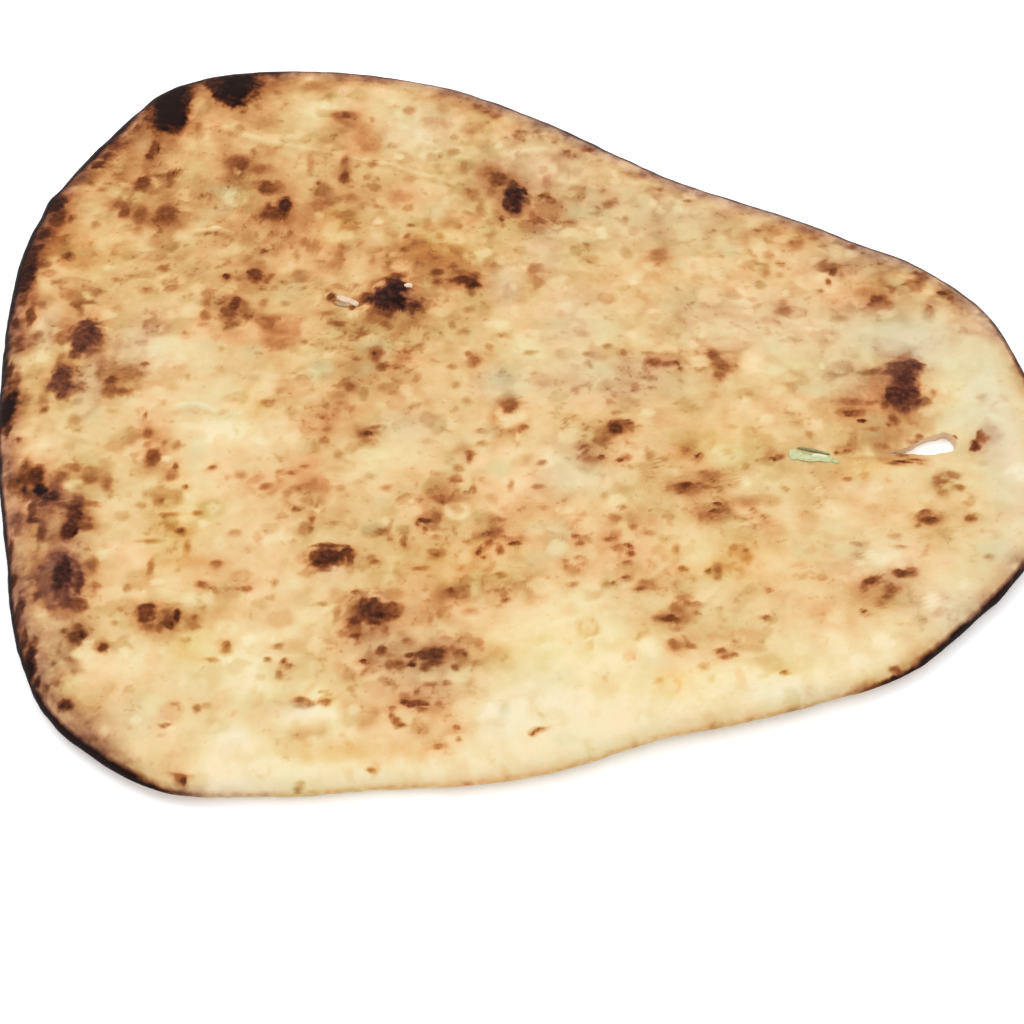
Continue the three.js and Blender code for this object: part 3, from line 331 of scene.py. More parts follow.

# Wide soft zones, in pixels as above, with how much more toasted or paler each is than
# the rest. They add up. The pale zones along the front edge are painted light.
TOASTED_ZONES = [
    (390, 330, 190, 150, 0.16), (350, 380, 150, 120, 0.1), (490, 540, 250, 130, 0.17),
    (400, 480, 130, 110, 0.1), (170, 280, 170, 110, 0.06), (660, 550, 220, 150, 0.16),
    (770, 490, 290, 130, 0.14), (880, 410, 120, 120, 0.15), (880, 580, 120, 80, 0.12),
    (330, 470, 110, 130, 0.14), (400, 620, 180, 110, 0.18), (430, 700, 120, 80, 0.14),
    (550, 205, 90, 60, 0.16), (500, 170, 90, 60, 0.12), (280, 200, 110, 90, 0.1),
    (170, 190, 130, 110, 0.12), (350, 140, 110, 70, 0.12), (280, 330, 80, 60, 0.16),
    (270, 480, 110, 50, 0.1), (150, 440, 70, 70, 0.14), (90, 350, 110, 130, 0.14),
    (60, 530, 120, 190, 0.22), (160, 600, 130, 90, 0.12), (700, 620, 160, 80, 0.12),
    (640, 370, 200, 50, 0.1), (880, 290, 150, 60, 0.14), (700, 230, 200, 50, 0.07),
    (120, 720, 130, 80, 0.12), (420, 260, 120, 60, 0.14), (620, 450, 130, 60, 0.12),
    (940, 530, 90, 90, 0.08), (450, 420, 160, 60, 0.05), (220, 150, 120, 90, 0.08),
    (230, 235, 200, 140, 0.12), (345, 240, 140, 100, 0.1), (430, 300, 140, 90, 0.08),
    (600, 290, 110, 90, 0.12), (600, 400, 130, 90, 0.08), (300, 400, 90, 60, 0.06),
    (150, 470, 70, 110, 0.09), (230, 590, 60, 60, 0.07), (350, 530, 70, 60, 0.08),
    (350, 640, 80, 60, 0.06), (490, 600, 100, 60, 0.08), (490, 380, 110, 90, 0.06),
    (148, 152, 42, 60, 0.2), (243, 184, 48, 50, 0.23), (440, 262, 122, 42, 0.2),
    (540, 275, 30, 30, 0.14), (234, 320, 74, 50, 0.22), (401, 355, 36, 44, 0.25),
    (310, 290, 120, 60, 0.06), (490, 320, 110, 60, 0.06), (270, 405, 40, 40, 0.11),
    (250, 412, 90, 40, 0.08), (512, 421, 50, 40, 0.27), (588, 440, 108, 44, 0.19),
    (725, 360, 60, 40, 0.1), (800, 405, 90, 60, 0.07), (988, 458, 52, 62, 0.15),
    (28, 490, 50, 64, 0.22), (78, 640, 50, 52, 0.36), (30, 590, 40, 60, 0.1),
    (313, 498, 34, 50, 0.16), (357, 614, 48, 52, 0.21), (160, 530, 80, 60, 0.05),
    (457, 500, 36, 60, 0.13), (400, 660, 90, 60, 0.08), (483, 653, 80, 50, 0.16),
    (560, 640, 80, 60, 0.05), (434, 741, 78, 36, 0.16), (960, 300, 80, 60, 0.06),
    (900, 292, 80, 36, 0.06), (60, 244, 80, 52, 0.13), (45, 214, 40, 36, 0.06),
    (80, 258, 70, 24, 0.08), (535, 222, 50, 50, 0.13), (780, 232, 74, 36, 0.18),
    (700, 302, 156, 86, 0.1), (690, 440, 80, 40, 0.05), (165, 640, 50, 24, 0.06),
    (55, 700, 44, 36, 0.08), (410, 672, 180, 100, 0.07), (335, 650, 80, 60, 0.04),
    (945, 620, 40, 30, 0.14), (525, 132, 60, 26, 0.16), (385, 752, 200, 40, 0.1),
    (180, 565, 60, 44, 0.08), (266, 274, 60, 46, 0.09), (28, 350, 40, 40, 0.08),
    (925, 452, 60, 30, 0.05), (262, 123, 60, 28, 0.11), (1005, 580, 50, 40, 0.1),
    (330, 655, 60, 60, 0.06), (322, 88, 64, 24, 0.13), (616, 164, 50, 20, 0.08),
    (728, 214, 50, 20, 0.08), (1000, 330, 40, 50, 0.07), (625, 392, 60, 36, 0.06),
    (532, 478, 44, 30, 0.08), (948, 486, 50, 40, 0.08), (755, 568, 50, 34, 0.06),
    (980, 565, 50, 40, 0.05), (330, 700, 44, 24, 0.06), (405, 718, 50, 34, 0.06),
    (510, 670, 60, 30, 0.04), (850, 260, 130, 34, 0.09), (905, 276, 80, 32, 0.08),
    (945, 302, 70, 34, 0.06), (798, 243, 80, 28, 0.08), (460, 110, 110, 28, 0.09),
    (530, 330, 70, 44, 0.08), (142, 766, 80, 36, 0.08), (1002, 560, 40, 50, 0.05),
    (380, 752, 150, 26, 0.06), (365, 188, 70, 40, 0.07), (200, 560, 80, 54, 0.07),
    (240, 290, 80, 52, 0.06), (500, 240, 70, 50, 0.07), (60, 400, 60, 60, 0.03),
    (253, 178, 76, 46, 0.04), (60, 250, 70, 80, 0.05), (700, 420, 90, 50, 0.04),
]
PALE_AND_PAINTED_LIGHT_ZONES = [
    (555, 680, 190, 120, 0.22), (560, 620, 150, 90, 0.16), (380, 460, 130, 36, 0.14),
    (230, 420, 150, 100, 0.12), (620, 290, 90, 110, 0.14), (965, 400, 110, 200, 0.14),
    (380, 765, 330, 60, 0.16), (200, 470, 60, 90, 0.06), (330, 700, 70, 60, 0.06),
    (226, 184, 66, 60, 0.08), (640, 660, 120, 60, 0.08), (520, 330, 60, 60, 0.06),
    (720, 680, 240, 50, 0.12), (130, 500, 60, 130, 0.08), (470, 360, 60, 40, 0.05),
    (420, 130, 110, 50, 0.08), (200, 340, 60, 60, 0.06), (248, 646, 80, 58, 0.11),
    (970, 560, 90, 70, 0.07), (500, 630, 90, 60, 0.08), (540, 545, 90, 66, 0.13),
    (500, 562, 80, 50, 0.11), (670, 548, 110, 66, 0.15), (225, 668, 90, 48, 0.07),
    (250, 686, 64, 58, 0.2), (870, 660, 110, 60, 0.14), (960, 640, 90, 60, 0.1),
    (620, 740, 240, 40, 0.14), (230, 775, 120, 40, 0.12), (350, 788, 220, 30, 0.1),
    (150, 725, 100, 70, 0.12), (190, 228, 56, 38, 0.22), (202, 155, 56, 66, 0.15),
    (218, 254, 60, 32, 0.13), (320, 115, 52, 46, 0.22), (380, 112, 60, 50, 0.13),
    (400, 148, 84, 60, 0.1), (378, 218, 46, 50, 0.12), (515, 160, 60, 26, 0.16),
    (573, 174, 42, 36, 0.14), (303, 345, 40, 60, 0.13), (300, 385, 40, 40, 0.08),
    (500, 385, 50, 30, 0.1), (590, 350, 50, 60, 0.05), (682, 208, 60, 36, 0.12),
    (100, 510, 32, 32, 0.16), (40, 440, 80, 30, 0.08), (150, 580, 80, 50, 0.12),
    (232, 738, 58, 50, 0.18), (300, 720, 64, 26, 0.26), (360, 705, 40, 30, 0.1),
    (132, 668, 64, 58, 0.2), (495, 515, 60, 40, 0.06), (700, 605, 66, 50, 0.26),
    (700, 542, 86, 46, 0.12), (776, 492, 70, 70, 0.2), (884, 564, 76, 54, 0.22),
    (890, 640, 50, 60, 0.1), (510, 731, 120, 56, 0.14), (620, 715, 200, 50, 0.12),
    (155, 245, 56, 40, 0.12), (312, 250, 44, 40, 0.07), (322, 280, 44, 36, 0.07),
    (295, 318, 44, 36, 0.09), (156, 356, 60, 56, 0.14), (168, 374, 36, 26, 0.12),
    (432, 176, 50, 30, 0.06), (515, 290, 40, 30, 0.06), (889, 270, 50, 26, 0.08),
    (898, 283, 36, 20, 0.36), (30, 463, 48, 44, 0.17), (30, 568, 44, 40, 0.07),
    (175, 603, 86, 40, 0.13), (280, 605, 50, 50, 0.06), (84, 691, 52, 38, 0.11),
    (195, 722, 90, 40, 0.07), (345, 512, 50, 30, 0.05), (107, 164, 54, 36, 0.18),
    (290, 570, 60, 50, 0.06), (94, 332, 56, 54, 0.15), (26, 335, 36, 26, 0.12),
    (115, 450, 60, 60, 0.07), (345, 443, 56, 32, 0.12), (220, 515, 50, 36, 0.09),
    (820, 528, 110, 56, 0.09), (722, 334, 54, 34, 0.18), (230, 790, 110, 18, 0.08),
    (204, 104, 36, 34, 0.18), (796, 315, 44, 30, 0.08), (640, 370, 34, 30, 0.08),
    (885, 348, 44, 24, 0.08), (405, 604, 36, 26, 0.1), (265, 465, 50, 30, 0.06),
    (75, 553, 26, 22, 0.12), (345, 660, 36, 30, 0.08), (480, 144, 40, 24, 0.08),
    (735, 488, 40, 30, 0.06), (625, 552, 50, 34, 0.06), (890, 590, 70, 32, 0.09),
    (150, 680, 76, 60, 0.06), (330, 720, 80, 34, 0.07), (310, 716, 50, 26, 0.04),
    (640, 600, 80, 50, 0.06),
]
# Where the crust is more orange, and where it is greener, with how much. The greener patches at
# the right end are painted shade, where the tip rolls down from the light.
ORANGE_PATCHES = [
    (282, 332, 56, 40, 0.8), (364, 138, 56, 44, 0.9), (405, 196, 40, 24, 0.7),
    (265, 480, 80, 26, 0.7), (550, 207, 56, 44, 0.8), (545, 178, 34, 26, 0.6),
    (742, 502, 50, 30, 0.6), (676, 450, 40, 24, 0.6), (880, 295, 90, 30, 0.4),
    (310, 470, 60, 60, 0.7), (470, 560, 160, 60, 0.4), (640, 560, 120, 60, 0.5),
    (60, 180, 90, 130, 0.4), (150, 440, 60, 40, 0.6), (420, 600, 120, 60, 0.4),
    (860, 480, 120, 70, 0.4), (205, 330, 50, 40, 0.4), (330, 420, 60, 60, 0.5),
    (380, 752, 170, 30, 0.5), (200, 560, 90, 60, 0.4), (240, 290, 90, 60, 0.3),
    (350, 185, 60, 40, 0.3), (700, 420, 100, 60, 0.4), (415, 695, 120, 50, 0.4),
    (760, 560, 90, 60, 0.2),
]
GREEN_AND_SHADE_PATCHES = [
    (320, 370, 30, 24, 1.0), (200, 405, 50, 26, 0.5), (195, 450, 24, 40, 0.6),
    (500, 375, 36, 26, 0.7), (575, 208, 24, 20, 0.8), (731, 250, 26, 18, 0.7),
    (812, 389, 40, 16, 0.8), (250, 350, 24, 18, 0.6), (610, 330, 50, 30, 0.4),
    (950, 470, 50, 30, 0.4), (380, 500, 24, 16, 0.5), (500, 465, 26, 18, 0.6),
    (505, 712, 14, 18, 0.9), (490, 430, 22, 14, 0.5), (680, 300, 60, 40, 0.3),
    (220, 400, 60, 60, 0.3), (95, 415, 20, 20, 0.6), (900, 335, 130, 50, 0.7),
    (985, 420, 70, 180, 0.6), (560, 330, 60, 60, 0.3), (800, 350, 90, 30, 0.3),
    (962, 443, 20, 14, 1.0), (945, 428, 16, 8, 0.8), (975, 560, 70, 70, 0.5),
    (945, 360, 60, 70, 0.5), (530, 670, 90, 60, 0.3),
]
# How grey (or, below 0, how vivid) the crust's colour is. They add up. Those at the right end and
# the thin strips along the front edge are painted shade.
GREYING_AND_SHADE_PATCHES = [
    (62, 555, 60, 110, 0.4), (50, 500, 60, 60, 0.2), (1000, 440, 70, 260, 0.8),
    (900, 335, 180, 80, 0.6), (575, 320, 80, 90, 0.4), (600, 378, 220, 60, 0.45),
    (495, 722, 50, 50, 0.5), (660, 215, 240, 80, 0.4), (760, 320, 240, 80, 0.4),
    (840, 375, 100, 60, 0.4), (540, 165, 160, 80, 0.4), (420, 130, 90, 60, 0.4),
    (230, 738, 50, 40, 0.5), (370, 610, 50, 40, 0.5), (570, 460, 80, 60, 0.45),
    (140, 345, 80, 70, 0.5), (90, 385, 40, 70, 0.5), (45, 330, 40, 60, 0.4),
    (545, 245, 50, 80, 0.4), (505, 285, 40, 50, 0.5), (950, 610, 120, 70, 0.6),
    (800, 692, 240, 24, 0.5), (220, 788, 150, 22, 0.8), (880, 560, 110, 60, 0.4),
    (540, 705, 120, 50, 0.4), (130, 720, 90, 50, 0.4), (300, 712, 60, 26, 0.6),
    (410, 425, 80, 40, 0.4), (500, 385, 70, 40, 0.5), (330, 560, 40, 50, 0.3),
    (570, 480, 120, 40, 0.3), (920, 350, 80, 60, 0.4), (90, 250, 90, 60, -0.2),
    (335, 225, 60, 50, -0.2), (440, 245, 110, 60, -0.2), (245, 405, 60, 60, -0.25),
    (180, 530, 90, 140, -0.3), (190, 650, 60, 40, -0.3), (320, 697, 60, 30, -0.2),
    (350, 756, 210, 34, -0.5), (460, 560, 200, 60, -0.2), (560, 635, 130, 70, -0.3),
    (720, 440, 110, 60, -0.25), (700, 555, 130, 60, -0.25), (690, 690, 90, 50, -0.35),
    (790, 672, 130, 36, -0.3), (870, 465, 90, 30, -0.3), (860, 262, 170, 44, 0.4),
    (1000, 555, 50, 60, 0.4), (545, 655, 190, 80, -0.35), (690, 685, 170, 44, -0.35),
    (640, 640, 60, 50, -0.2), (760, 560, 90, 60, -0.25), (210, 640, 80, 80, -0.2),
    (425, 665, 150, 90, 0.35), (60, 640, 80, 80, 0.35), (370, 640, 70, 40, 0.2),
]
# Where the char is violet rather than brown.
VIOLET_PATCHES = [
    (62, 580, 60, 76, 0.45), (50, 510, 70, 60, 0.3), (85, 338, 40, 44, 0.3),
    (62, 384, 40, 36, 0.3), (905, 385, 60, 64, 0.35), (395, 298, 54, 40, 0.3),
    (514, 198, 30, 34, 0.25), (20, 610, 24, 60, 0.4),
]

# Browning of the edge, by the direction from the bread's middle in degrees: how far in
# from the edge the char reaches and how deep it is, then the same of the brown beyond it.
# From 258 to 311 degrees, along the front, the thin shallow char is painted shade: the grey line
# under that edge.
EDGE_TONES = [
    (0, 2.4, 0.92, 8, 0.3), (6, 3.0, 0.94, 11, 0.4), (12, 3.2, 0.95, 11, 0.43),
    (18, 3.1, 0.95, 9, 0.42), (26, 2.9, 0.95, 9, 0.44), (38, 2.6, 0.96, 8, 0.46),
    (56, 2.4, 0.98, 9, 0.52), (79, 2.5, 1.0, 12, 0.58), (95, 2.5, 1.0, 11, 0.56),
    (107, 2.7, 1.03, 10, 0.54), (116, 3.2, 1.06, 11, 0.58), (124, 3.6, 1.08, 12, 0.6),
    (132, 4.0, 1.08, 14, 0.6), (141, 4.3, 1.1, 14, 0.62), (152, 4.0, 1.1, 13, 0.62),
    (163, 3.3, 1.1, 11, 0.57), (175, 2.5, 1.08, 10, 0.55), (187, 1.7, 1.06, 11, 0.57),
    (200, 1.5, 1.06, 11, 0.56), (212, 1.4, 1.08, 12, 0.57), (222, 1.25, 1.08, 11, 0.55),
    (230, 1.15, 1.1, 9, 0.53), (236, 1.1, 1.1, 6, 0.42), (241, 0.8, 1.06, 4, 0.28),
    (246, 0.5, 0.5, 3, 0.16), (258, 0.45, 0.34, 2, 0.12), (290, 0.45, 0.34, 2, 0.12),
    (311, 0.45, 0.36, 3, 0.16), (316, 0.7, 0.95, 3, 0.22), (322, 1.0, 1.08, 4, 0.28),
    (331, 1.2, 1.08, 5, 0.3), (335, 1.2, 1.0, 5, 0.3), (338, 0.9, 0.8, 4, 0.24),
    (342, 0.7, 0.5, 4, 0.2), (352, 0.9, 0.7, 5, 0.22),
]
# The point from which directions round the bread are measured.
MIDDLE = np.array([-12.0, -1.0])

# ---- Chance patterns -----------------------------------------------------------------
# The size of each pattern's features along x, y and z, its seed, and its number of layers,
# each half as large as the one before.

WAVES = {
    "wrinkles": ((12, 5.5, 8), 3, 3), "crumple": ((3.8, 3.4, 4), 5, 3),
    "crackle": ((2.6, 2.4, 2.6), 7, 2), "crust": ((5, 5, 3.2), 11, 2),
    "underside": ((7, 5, 7), 17, 3), "tear": ((1.6, 1.6, 1.1), 23, 2),
    "char": ((9, 9, 5), 41, 3), "brown rim": ((9, 6.5, 7), 47, 3),
    "patches": ((11, 10, 10), 67, 3), "mottle": ((4.4, 4.4, 5), 71, 2),
    "busy": ((22, 20, 20), 73, 3), "lean": ((16, 14, 16), 79, 3),
    "green": ((12, 9, 12), 83, 3), "wear": ((13, 13, 6), 89, 3),
}
# The same for the pushes that make outlines uneven, with how far they push.
PUSHES = {
    "marks": ((3.4, 2.6, 3.4), 31, 0.6), "glow": ((9, 7, 9), 43, 2.2),
    "blots": ((4.5, 3.6, 4.5), 53, 1.1), "ridges": ((9, 6, 9), 59, 1.0),
}
CHANCE_TABLE = 1021
CHANCE_STEPS = np.array([7919, 104729, 1299709])  # primes, so that neighbours are unlike
ROUGHEST = 1.5  # what the layers add up to, nearly always

# From where to where things come in smoothly.
LIMITS = {
    # mm from the edge, from the tear's outline, and off the table
    "rim relief": (0.0, 14.0), "lit front reach": (2.0, 16.0), "rim greying": (0.5, 9.0),
    "torn": (1.1, 0.25), "off table": (0.02, 0.4),
    # shares of the edge's own reach of char and of brown, and the depth of its brown
    "char": (0.5, 1.4), "brown": (0.1, 1.25), "lit front edge": (0.26, 0.14), "brown edge": (0.2, 0.5),
    # how far a surface looks up, or back
    "above": (-0.35, 0.15), "side": (0.42, 0.0), "upright": (0.75, 0.4),
    "not under": (-0.75, -0.4), "backward": (0.2, 0.5),
    # places along x and along y
    "right": (-90.0, 0.0), "back": (-60.0, 110.0),
    # shares of a mark's shape, and how scorched it is
    "puffed": (0.35, 0.75), "crackled": (0.6, 0.95),
    # the chance patterns of green and of wear, and how busy the crust is
    "green": (0.25, 0.75), "wear": (-0.4, 0.35), "blotchy": (0.0, 0.3), "flecked": (-0.1, 0.4),
    # browning, and the rim's browning
    "marked": (0.5, 0.7), "violet": (0.5, 0.75), "edged": (0.0, 0.4),
}


def smoothstep(low, high, value):
    share = np.clip((value - low) / (high - low), 0.0, 1.0)
    return share * share * (3 - 2 * share)


def eased(name, value):
    """Goes from 0 to 1 as a value goes through these limits."""
    return smoothstep(*LIMITS[name], value)


def between(limits, share):
    return limits[0] + (limits[1] - limits[0]) * share


def chance_waves(points, size, seed):
    """Smooth random values from -1 to 1 at (n, 3) points, with features of about this size."""
    table = np.random.default_rng(seed).random(CHANCE_TABLE)
    scaled = points / size
    corner = np.floor(scaled).astype(np.int64)
    share = smoothstep(0.0, 1.0, scaled - corner)
    total = np.zeros(len(points))
    for step in product((0, 1), repeat=3):
        value = table[(corner + step) @ CHANCE_STEPS % CHANCE_TABLE]
        total += np.where(step, share, 1 - share).prod(axis=1) * value
    return 2 * total - 1


def rough_waves(points, size, seed, layers=3):
    """Chance waves with finer ones on top, from about -1 to 1."""
    total = np.zeros(len(points))
    for k in range(layers):
        total += chance_waves(points, np.array(size) / 2**k, seed + k) / 2**k
    return total / ROUGHEST


def waves(points, name):
    return rough_waves(points, *WAVES[name])


def lifted(places, height):
    """Places as points at this height, or at a height each."""
    return np.column_stack([places, np.broadcast_to(height, len(places))])


def pushed_about(places, name):
    """Places pushed about by chance, which makes the outlines of what lies there uneven."""
    size, seed, reach = PUSHES[name]
    shift = [rough_waves(lifted(places, 0.0), size, seed + 10 * k, 2) for k in (0, 1)]
    return places + reach * np.stack(shift, 1)


# ---- Places, lines and outlines ------------------------------------------------------


def photo_patch(mark):
    """A mark's middle and half sizes on the bread, from its pixels."""
    px, py, width, height, amount = mark
    at = seen_at(px, py)
    half_x = np.linalg.norm(seen_at(px + width / 2, py) - at)
    half_y = np.linalg.norm(seen_at(px, py - height / 2) - at)
    return at, half_x, half_y, amount


def near_indices(places, at, half_x, half_y):
    """The places in a box about a point."""
    across = np.abs(places[:, 0] - at[0]) < half_x
    return np.flatnonzero(across & (np.abs(places[:, 1] - at[1]) < half_y))


def ovalness(places, at, half_x, half_y):
    """Distance from the middle of an oval, 1 on its outline, for (n, 2) places."""
    return np.hypot((places[:, 0] - at[0]) / half_x, (places[:, 1] - at[1]) / half_y)


def stamped(places, marks, inner=0.0, outer=1.3, wider=1.0, together=np.maximum):
    """The marks laid over one another at these places, each whole as far out as inner and
    gone at outer, as shares of its size."""
    total = np.zeros(len(places))
    for mark in marks:
        at, half_x, half_y, amount = photo_patch(mark)
        half_x, half_y = half_x * wider, half_y * wider
        near = near_indices(places, at, outer * half_x, outer * half_y)
        off = ovalness(places[near], at, half_x, half_y)
        total[near] = together(total[near], amount * (1 - smoothstep(inner, outer, off)))
    return total


def lengths_along(line):
    """How far each point of a line is from its start, along it."""
    return np.concatenate([[0], np.cumsum(np.linalg.norm(np.diff(line, axis=0), axis=1))])


def points_along(line, distances):
    lengths = lengths_along(line)
    return np.stack([np.interp(distances, lengths, line[:, k]) for k in (0, 1)], 1)


def closed(corners):
    return np.vstack([corners, corners[:1]])


def even_ring(corners, count):
    """The closed ring through these corners in this many even steps."""
    loop = closed(corners)
    end = lengths_along(loop)[-1]
    return points_along(loop, np.linspace(0, end, count, endpoint=False))


def ring_steps(ring):
    return np.roll(ring, -1, axis=0) - np.roll(ring, 1, axis=0)


def left_of(along):
    """Unit vectors to the left of these directions."""
    along = along / np.linalg.norm(along, axis=1, keepdims=True)
    return np.stack([-along[:, 1], along[:, 0]], 1)


def bell(width, reach):
    """The weights of a Gaussian blur."""
    weights = np.exp(-0.5 * (np.arange(-reach, reach + 1) / width) ** 2)
    return weights / weights.sum()


def circular_blur(values, steps):
    """Gaussian blur round a closed ring, of a value or of a row of them at each step."""
    reach = int(3 * steps)
    padded = np.concatenate([values[-reach:], values, values[:reach]])
    columns = padded.reshape(len(padded), -1).T
    blurs = [np.convolve(column, bell(steps, reach), "valid") for column in columns]
    return np.stack(blurs, 1).reshape(values.shape)


def blurred(table, cells):
    """Gaussian blur of a square table."""
    reach = int(3 * cells) + 1
    weights = bell(cells, reach)
    for axis in (0, 1):
        padded = np.pad(table, [(reach, reach) if a == axis else (0, 0) for a in (0, 1)], "edge")
        table = np.apply_along_axis(lambda row: np.convolve(row, weights, "valid"), axis, padded)
    return table


def inside_outline(places, path):
    """Which places lie inside a closed path."""
    x, y = places.T
    within = np.zeros(len(places), bool)
    for (ax, ay), (bx, by) in zip(path, [*path[1:], path[0]]):
        crosses = (ay > y) != (by > y)
        with np.errstate(divide="ignore", invalid="ignore"):
            within ^= crosses & (x < (bx - ax) * (y - ay) / (by - ay) + ax)
    return within


def distance_to_path(places, path, ring=True):
    """How far places are from a line through these corners, or from the ring that it makes."""
    best = np.full(len(places), np.inf)
    ends = [*path[1:], path[0]] if ring else path[1:]
    for a, b in zip(map(np.array, path), map(np.array, ends)):
        share = np.clip(((places - a) @ (b - a)) / max(TINY, (b - a) @ (b - a)), 0, 1)
        best = np.minimum(best, np.linalg.norm(places - a - share[:, None] * (b - a), axis=1))
    return best


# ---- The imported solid: its outline and heights -----------------------------------------

OUTLINE_RAYS = 2048
OUTLINE_STEPS = 4096
OUTLINE_HEIGHTS = np.linspace(0.6, 8.6, 17)
OUTLINE_SMOOTHING = 14  # steps
NORMAL_SMOOTHING = 70
HEIGHT_SMOOTHING = 2.0  # cells
GAP_SMOOTHING = 5.0
LEAST_WEIGHT = 1e-3
FAR = 260.0  # past the bread's edge on every side
ABOVE, BELOW = 40.0, -10.0

# The solid's tear and herb, which get finer shapes here. Its heights are left out there and
# for a margin round them.
TEAR = [
    (99.4, -27.4), (103.5, -27.2), (106.5, -27.0), (109.5, -27.4), (113, -27.2), (117, -26.6),
    (118.1, -24.6), (118.2, -22.6), (117, -20.4), (115.8, -19.7), (113.6, -20.6),
    (111.2, -21.2), (108.6, -22.6), (105, -25), (102.3, -26.4),
]
TEAR_MARGIN = 1.6
HERB = {"at": (78.9, -30.5), "half": (6.3, 1.7), "turn": -0.13, "margin": 1.4}


def tree_of(piece):
    corners = [v.co / MM for v in piece.data.vertices]
    return BVHTree.FromPolygons(corners, [tuple(p.vertices) for p in piece.data.polygons])


solid_tree = tree_of(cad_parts["naan_bread"])


def surface_heights(tree, places, down=True):
    """Heights of a surface met from above or below at (n, 2) places; nan where there is none."""
    start, way = (ABOVE, -1.0) if down else (BELOW, 1.0)
    hits = (tree.ray_cast(Vector((x, y, start)), Vector((0, 0, way)))[0] for x, y in places)
    return np.array([math.nan if hit is None else hit.z for hit in hits])


def outline_of_solid():
    """The outline seen from above, evenly spaced, and the inward directions along it."""
    turns = np.linspace(0, 2 * np.pi, OUTLINE_RAYS, endpoint=False)
    reach = np.zeros(OUTLINE_RAYS)
    for k, turn in enumerate(turns):
        out = np.array([math.cos(turn), math.sin(turn)])
        for z in OUTLINE_HEIGHTS:
            start = Vector((*(MIDDLE + out * FAR), z))
            hit = solid_tree.ray_cast(start, Vector((*-out, 0)), FAR)
            if hit[0] is not None:
                reach[k] = max(reach[k], FAR - hit[3])
    ring = MIDDLE + reach[:, None] * np.stack([np.cos(turns), np.sin(turns)], 1)
    ring = even_ring(ring, OUTLINE_STEPS)
    soft = circular_blur(ring, NORMAL_SMOOTHING)
    return circular_blur(ring, OUTLINE_SMOOTHING), left_of(ring_steps(soft))


def tree_of_places(places):
    tree = KDTree(len(places))
    for k, (x, y) in enumerate(places):
        tree.insert((x, y, 0), k)
    tree.balance()
    return tree


outline, inward = outline_of_solid()
rim_tree = tree_of_places(outline)


def distance_to_outline(places):
    return np.array([rim_tree.find((x, y, 0))[2] for x, y in places])


def edge_points(shares, inset):
    """Points of the outline at shares of the way round, moved in by an inset."""
    steps = (shares % 1.0) * OUTLINE_STEPS
    first = np.floor(steps).astype(int) % OUTLINE_STEPS
    second = (first + 1) % OUTLINE_STEPS
    share = (steps % 1.0)[:, None]
    place = outline[first] * (1 - share) + outline[second] * share
    return place + (inward[first] * (1 - share) + inward[second] * share) * inset


def spread_over_bread(turns, shares, inset=0.0, reach=1.0):
    """Places all over the bread, from chance shares of the way round and of the area."""
    rim = edge_points(turns, inset)
    return MIDDLE + (rim - MIDDLE) * np.sqrt(shares)[:, None] * reach


def without_details(places, heights):
    """Heights with the tear and the herb taken out, to be filled in smoothly."""
    tear = inside_outline(places, TEAR) | (distance_to_path(places, TEAR) < TEAR_MARGIN)
    x, y = (places - np.array(HERB["at"])).T
    cos, sin = math.cos(HERB["turn"]), math.sin(HERB["turn"])
    half_x, half_y = (half + HERB["margin"] for half in HERB["half"])
    herb = np.hypot((x * cos + y * sin) / half_x, (-x * sin + y * cos) / half_y) < 1
    return np.where(tear | herb, np.nan, heights)


def smooth_heights(places, cells, down):
    """The solid's heights on a grid, with its facets smoothed away and its gaps filled."""
    heights = without_details(places, surface_heights(solid_tree, places, down))
    table = heights.reshape(cells + 1, cells + 1)
    known = ~np.isnan(table)
    weight = blurred(known.astype(float), GAP_SMOOTHING)
    guess = blurred(np.where(known, table, 0.0), GAP_SMOOTHING) / np.maximum(weight, LEAST_WEIGHT)
    return blurred(np.where(known, table, guess), HEIGHT_SMOOTHING).ravel()


# ---- Small relief ----------------------------------------------------------------------
# Low wrinkles along the bread, crumbly unevenness, small blisters, and the marks, which
# stand a little proud where the dough has puffed and scorched. In mm.

RELIEF = {
    "wrinkles": 0.17, "crumple": 0.13, "marks": 0.42, "ridges": 0.7, "crackle": 0.18,
    "crust": 0.32, "underside": 0.12,
}
# Blisters and blots of chance: how many, how large (skewed to the small ones), and how much
# longer they are than they are deep.
SMALL_BLISTERS = {
    "count": 950, "radius": (1.3, 3.4), "skew": 2.2, "longer": 1.1, "height": (0.07, 0.26),
    "small ones' height": 0.5, "inset": 4.0, "reach": 0.985,
}
BLOTS = {
    "count": 2600, "radius": (1.5, 6.0), "skew": 1.8, "longer": (0.75, 1.35), "spread": 0.5,
    "cover": 0.75, "whole until": 0.55,
}
# In half widths of a ridge: how far it and its shade reach, and how far below it the shade is.
RIDGE_REACH = {"rise": 1.3, "shade": 1.2, "below": 1.1}
TEAR_DIP = {"depth": 1.9, "reach": 6.0}
SMALLEST_MARK = 0.8  # half size


def small_blisters():
    """Chance places over the bread, each with a radius and a height."""
    rng = np.random.default_rng(SEED)
    kind = SMALL_BLISTERS
    count = kind["count"]
    shares, turns = rng.random(count), rng.random(count)
    places = spread_over_bread(turns, shares, kind["inset"], kind["reach"])
    radii = between(kind["radius"], rng.random(count) ** kind["skew"])
    heights = between(kind["height"], rng.random(count))
    lower = between((kind["small ones' height"], 1.0), radii / kind["radius"][1])
    return places, radii, heights * lower


def small_blister_field(places, blisters):
    """How high the small blisters raise each place."""
    total = np.zeros(len(places))
    for at, radius, height in zip(*blisters):
        half_x = SMALL_BLISTERS["longer"] * radius
        near = near_indices(places, at, half_x, radius)
        off = ovalness(places[near], at, half_x, radius)
        total[near] += height * (1 - smoothstep(0, 1, off))
    return total


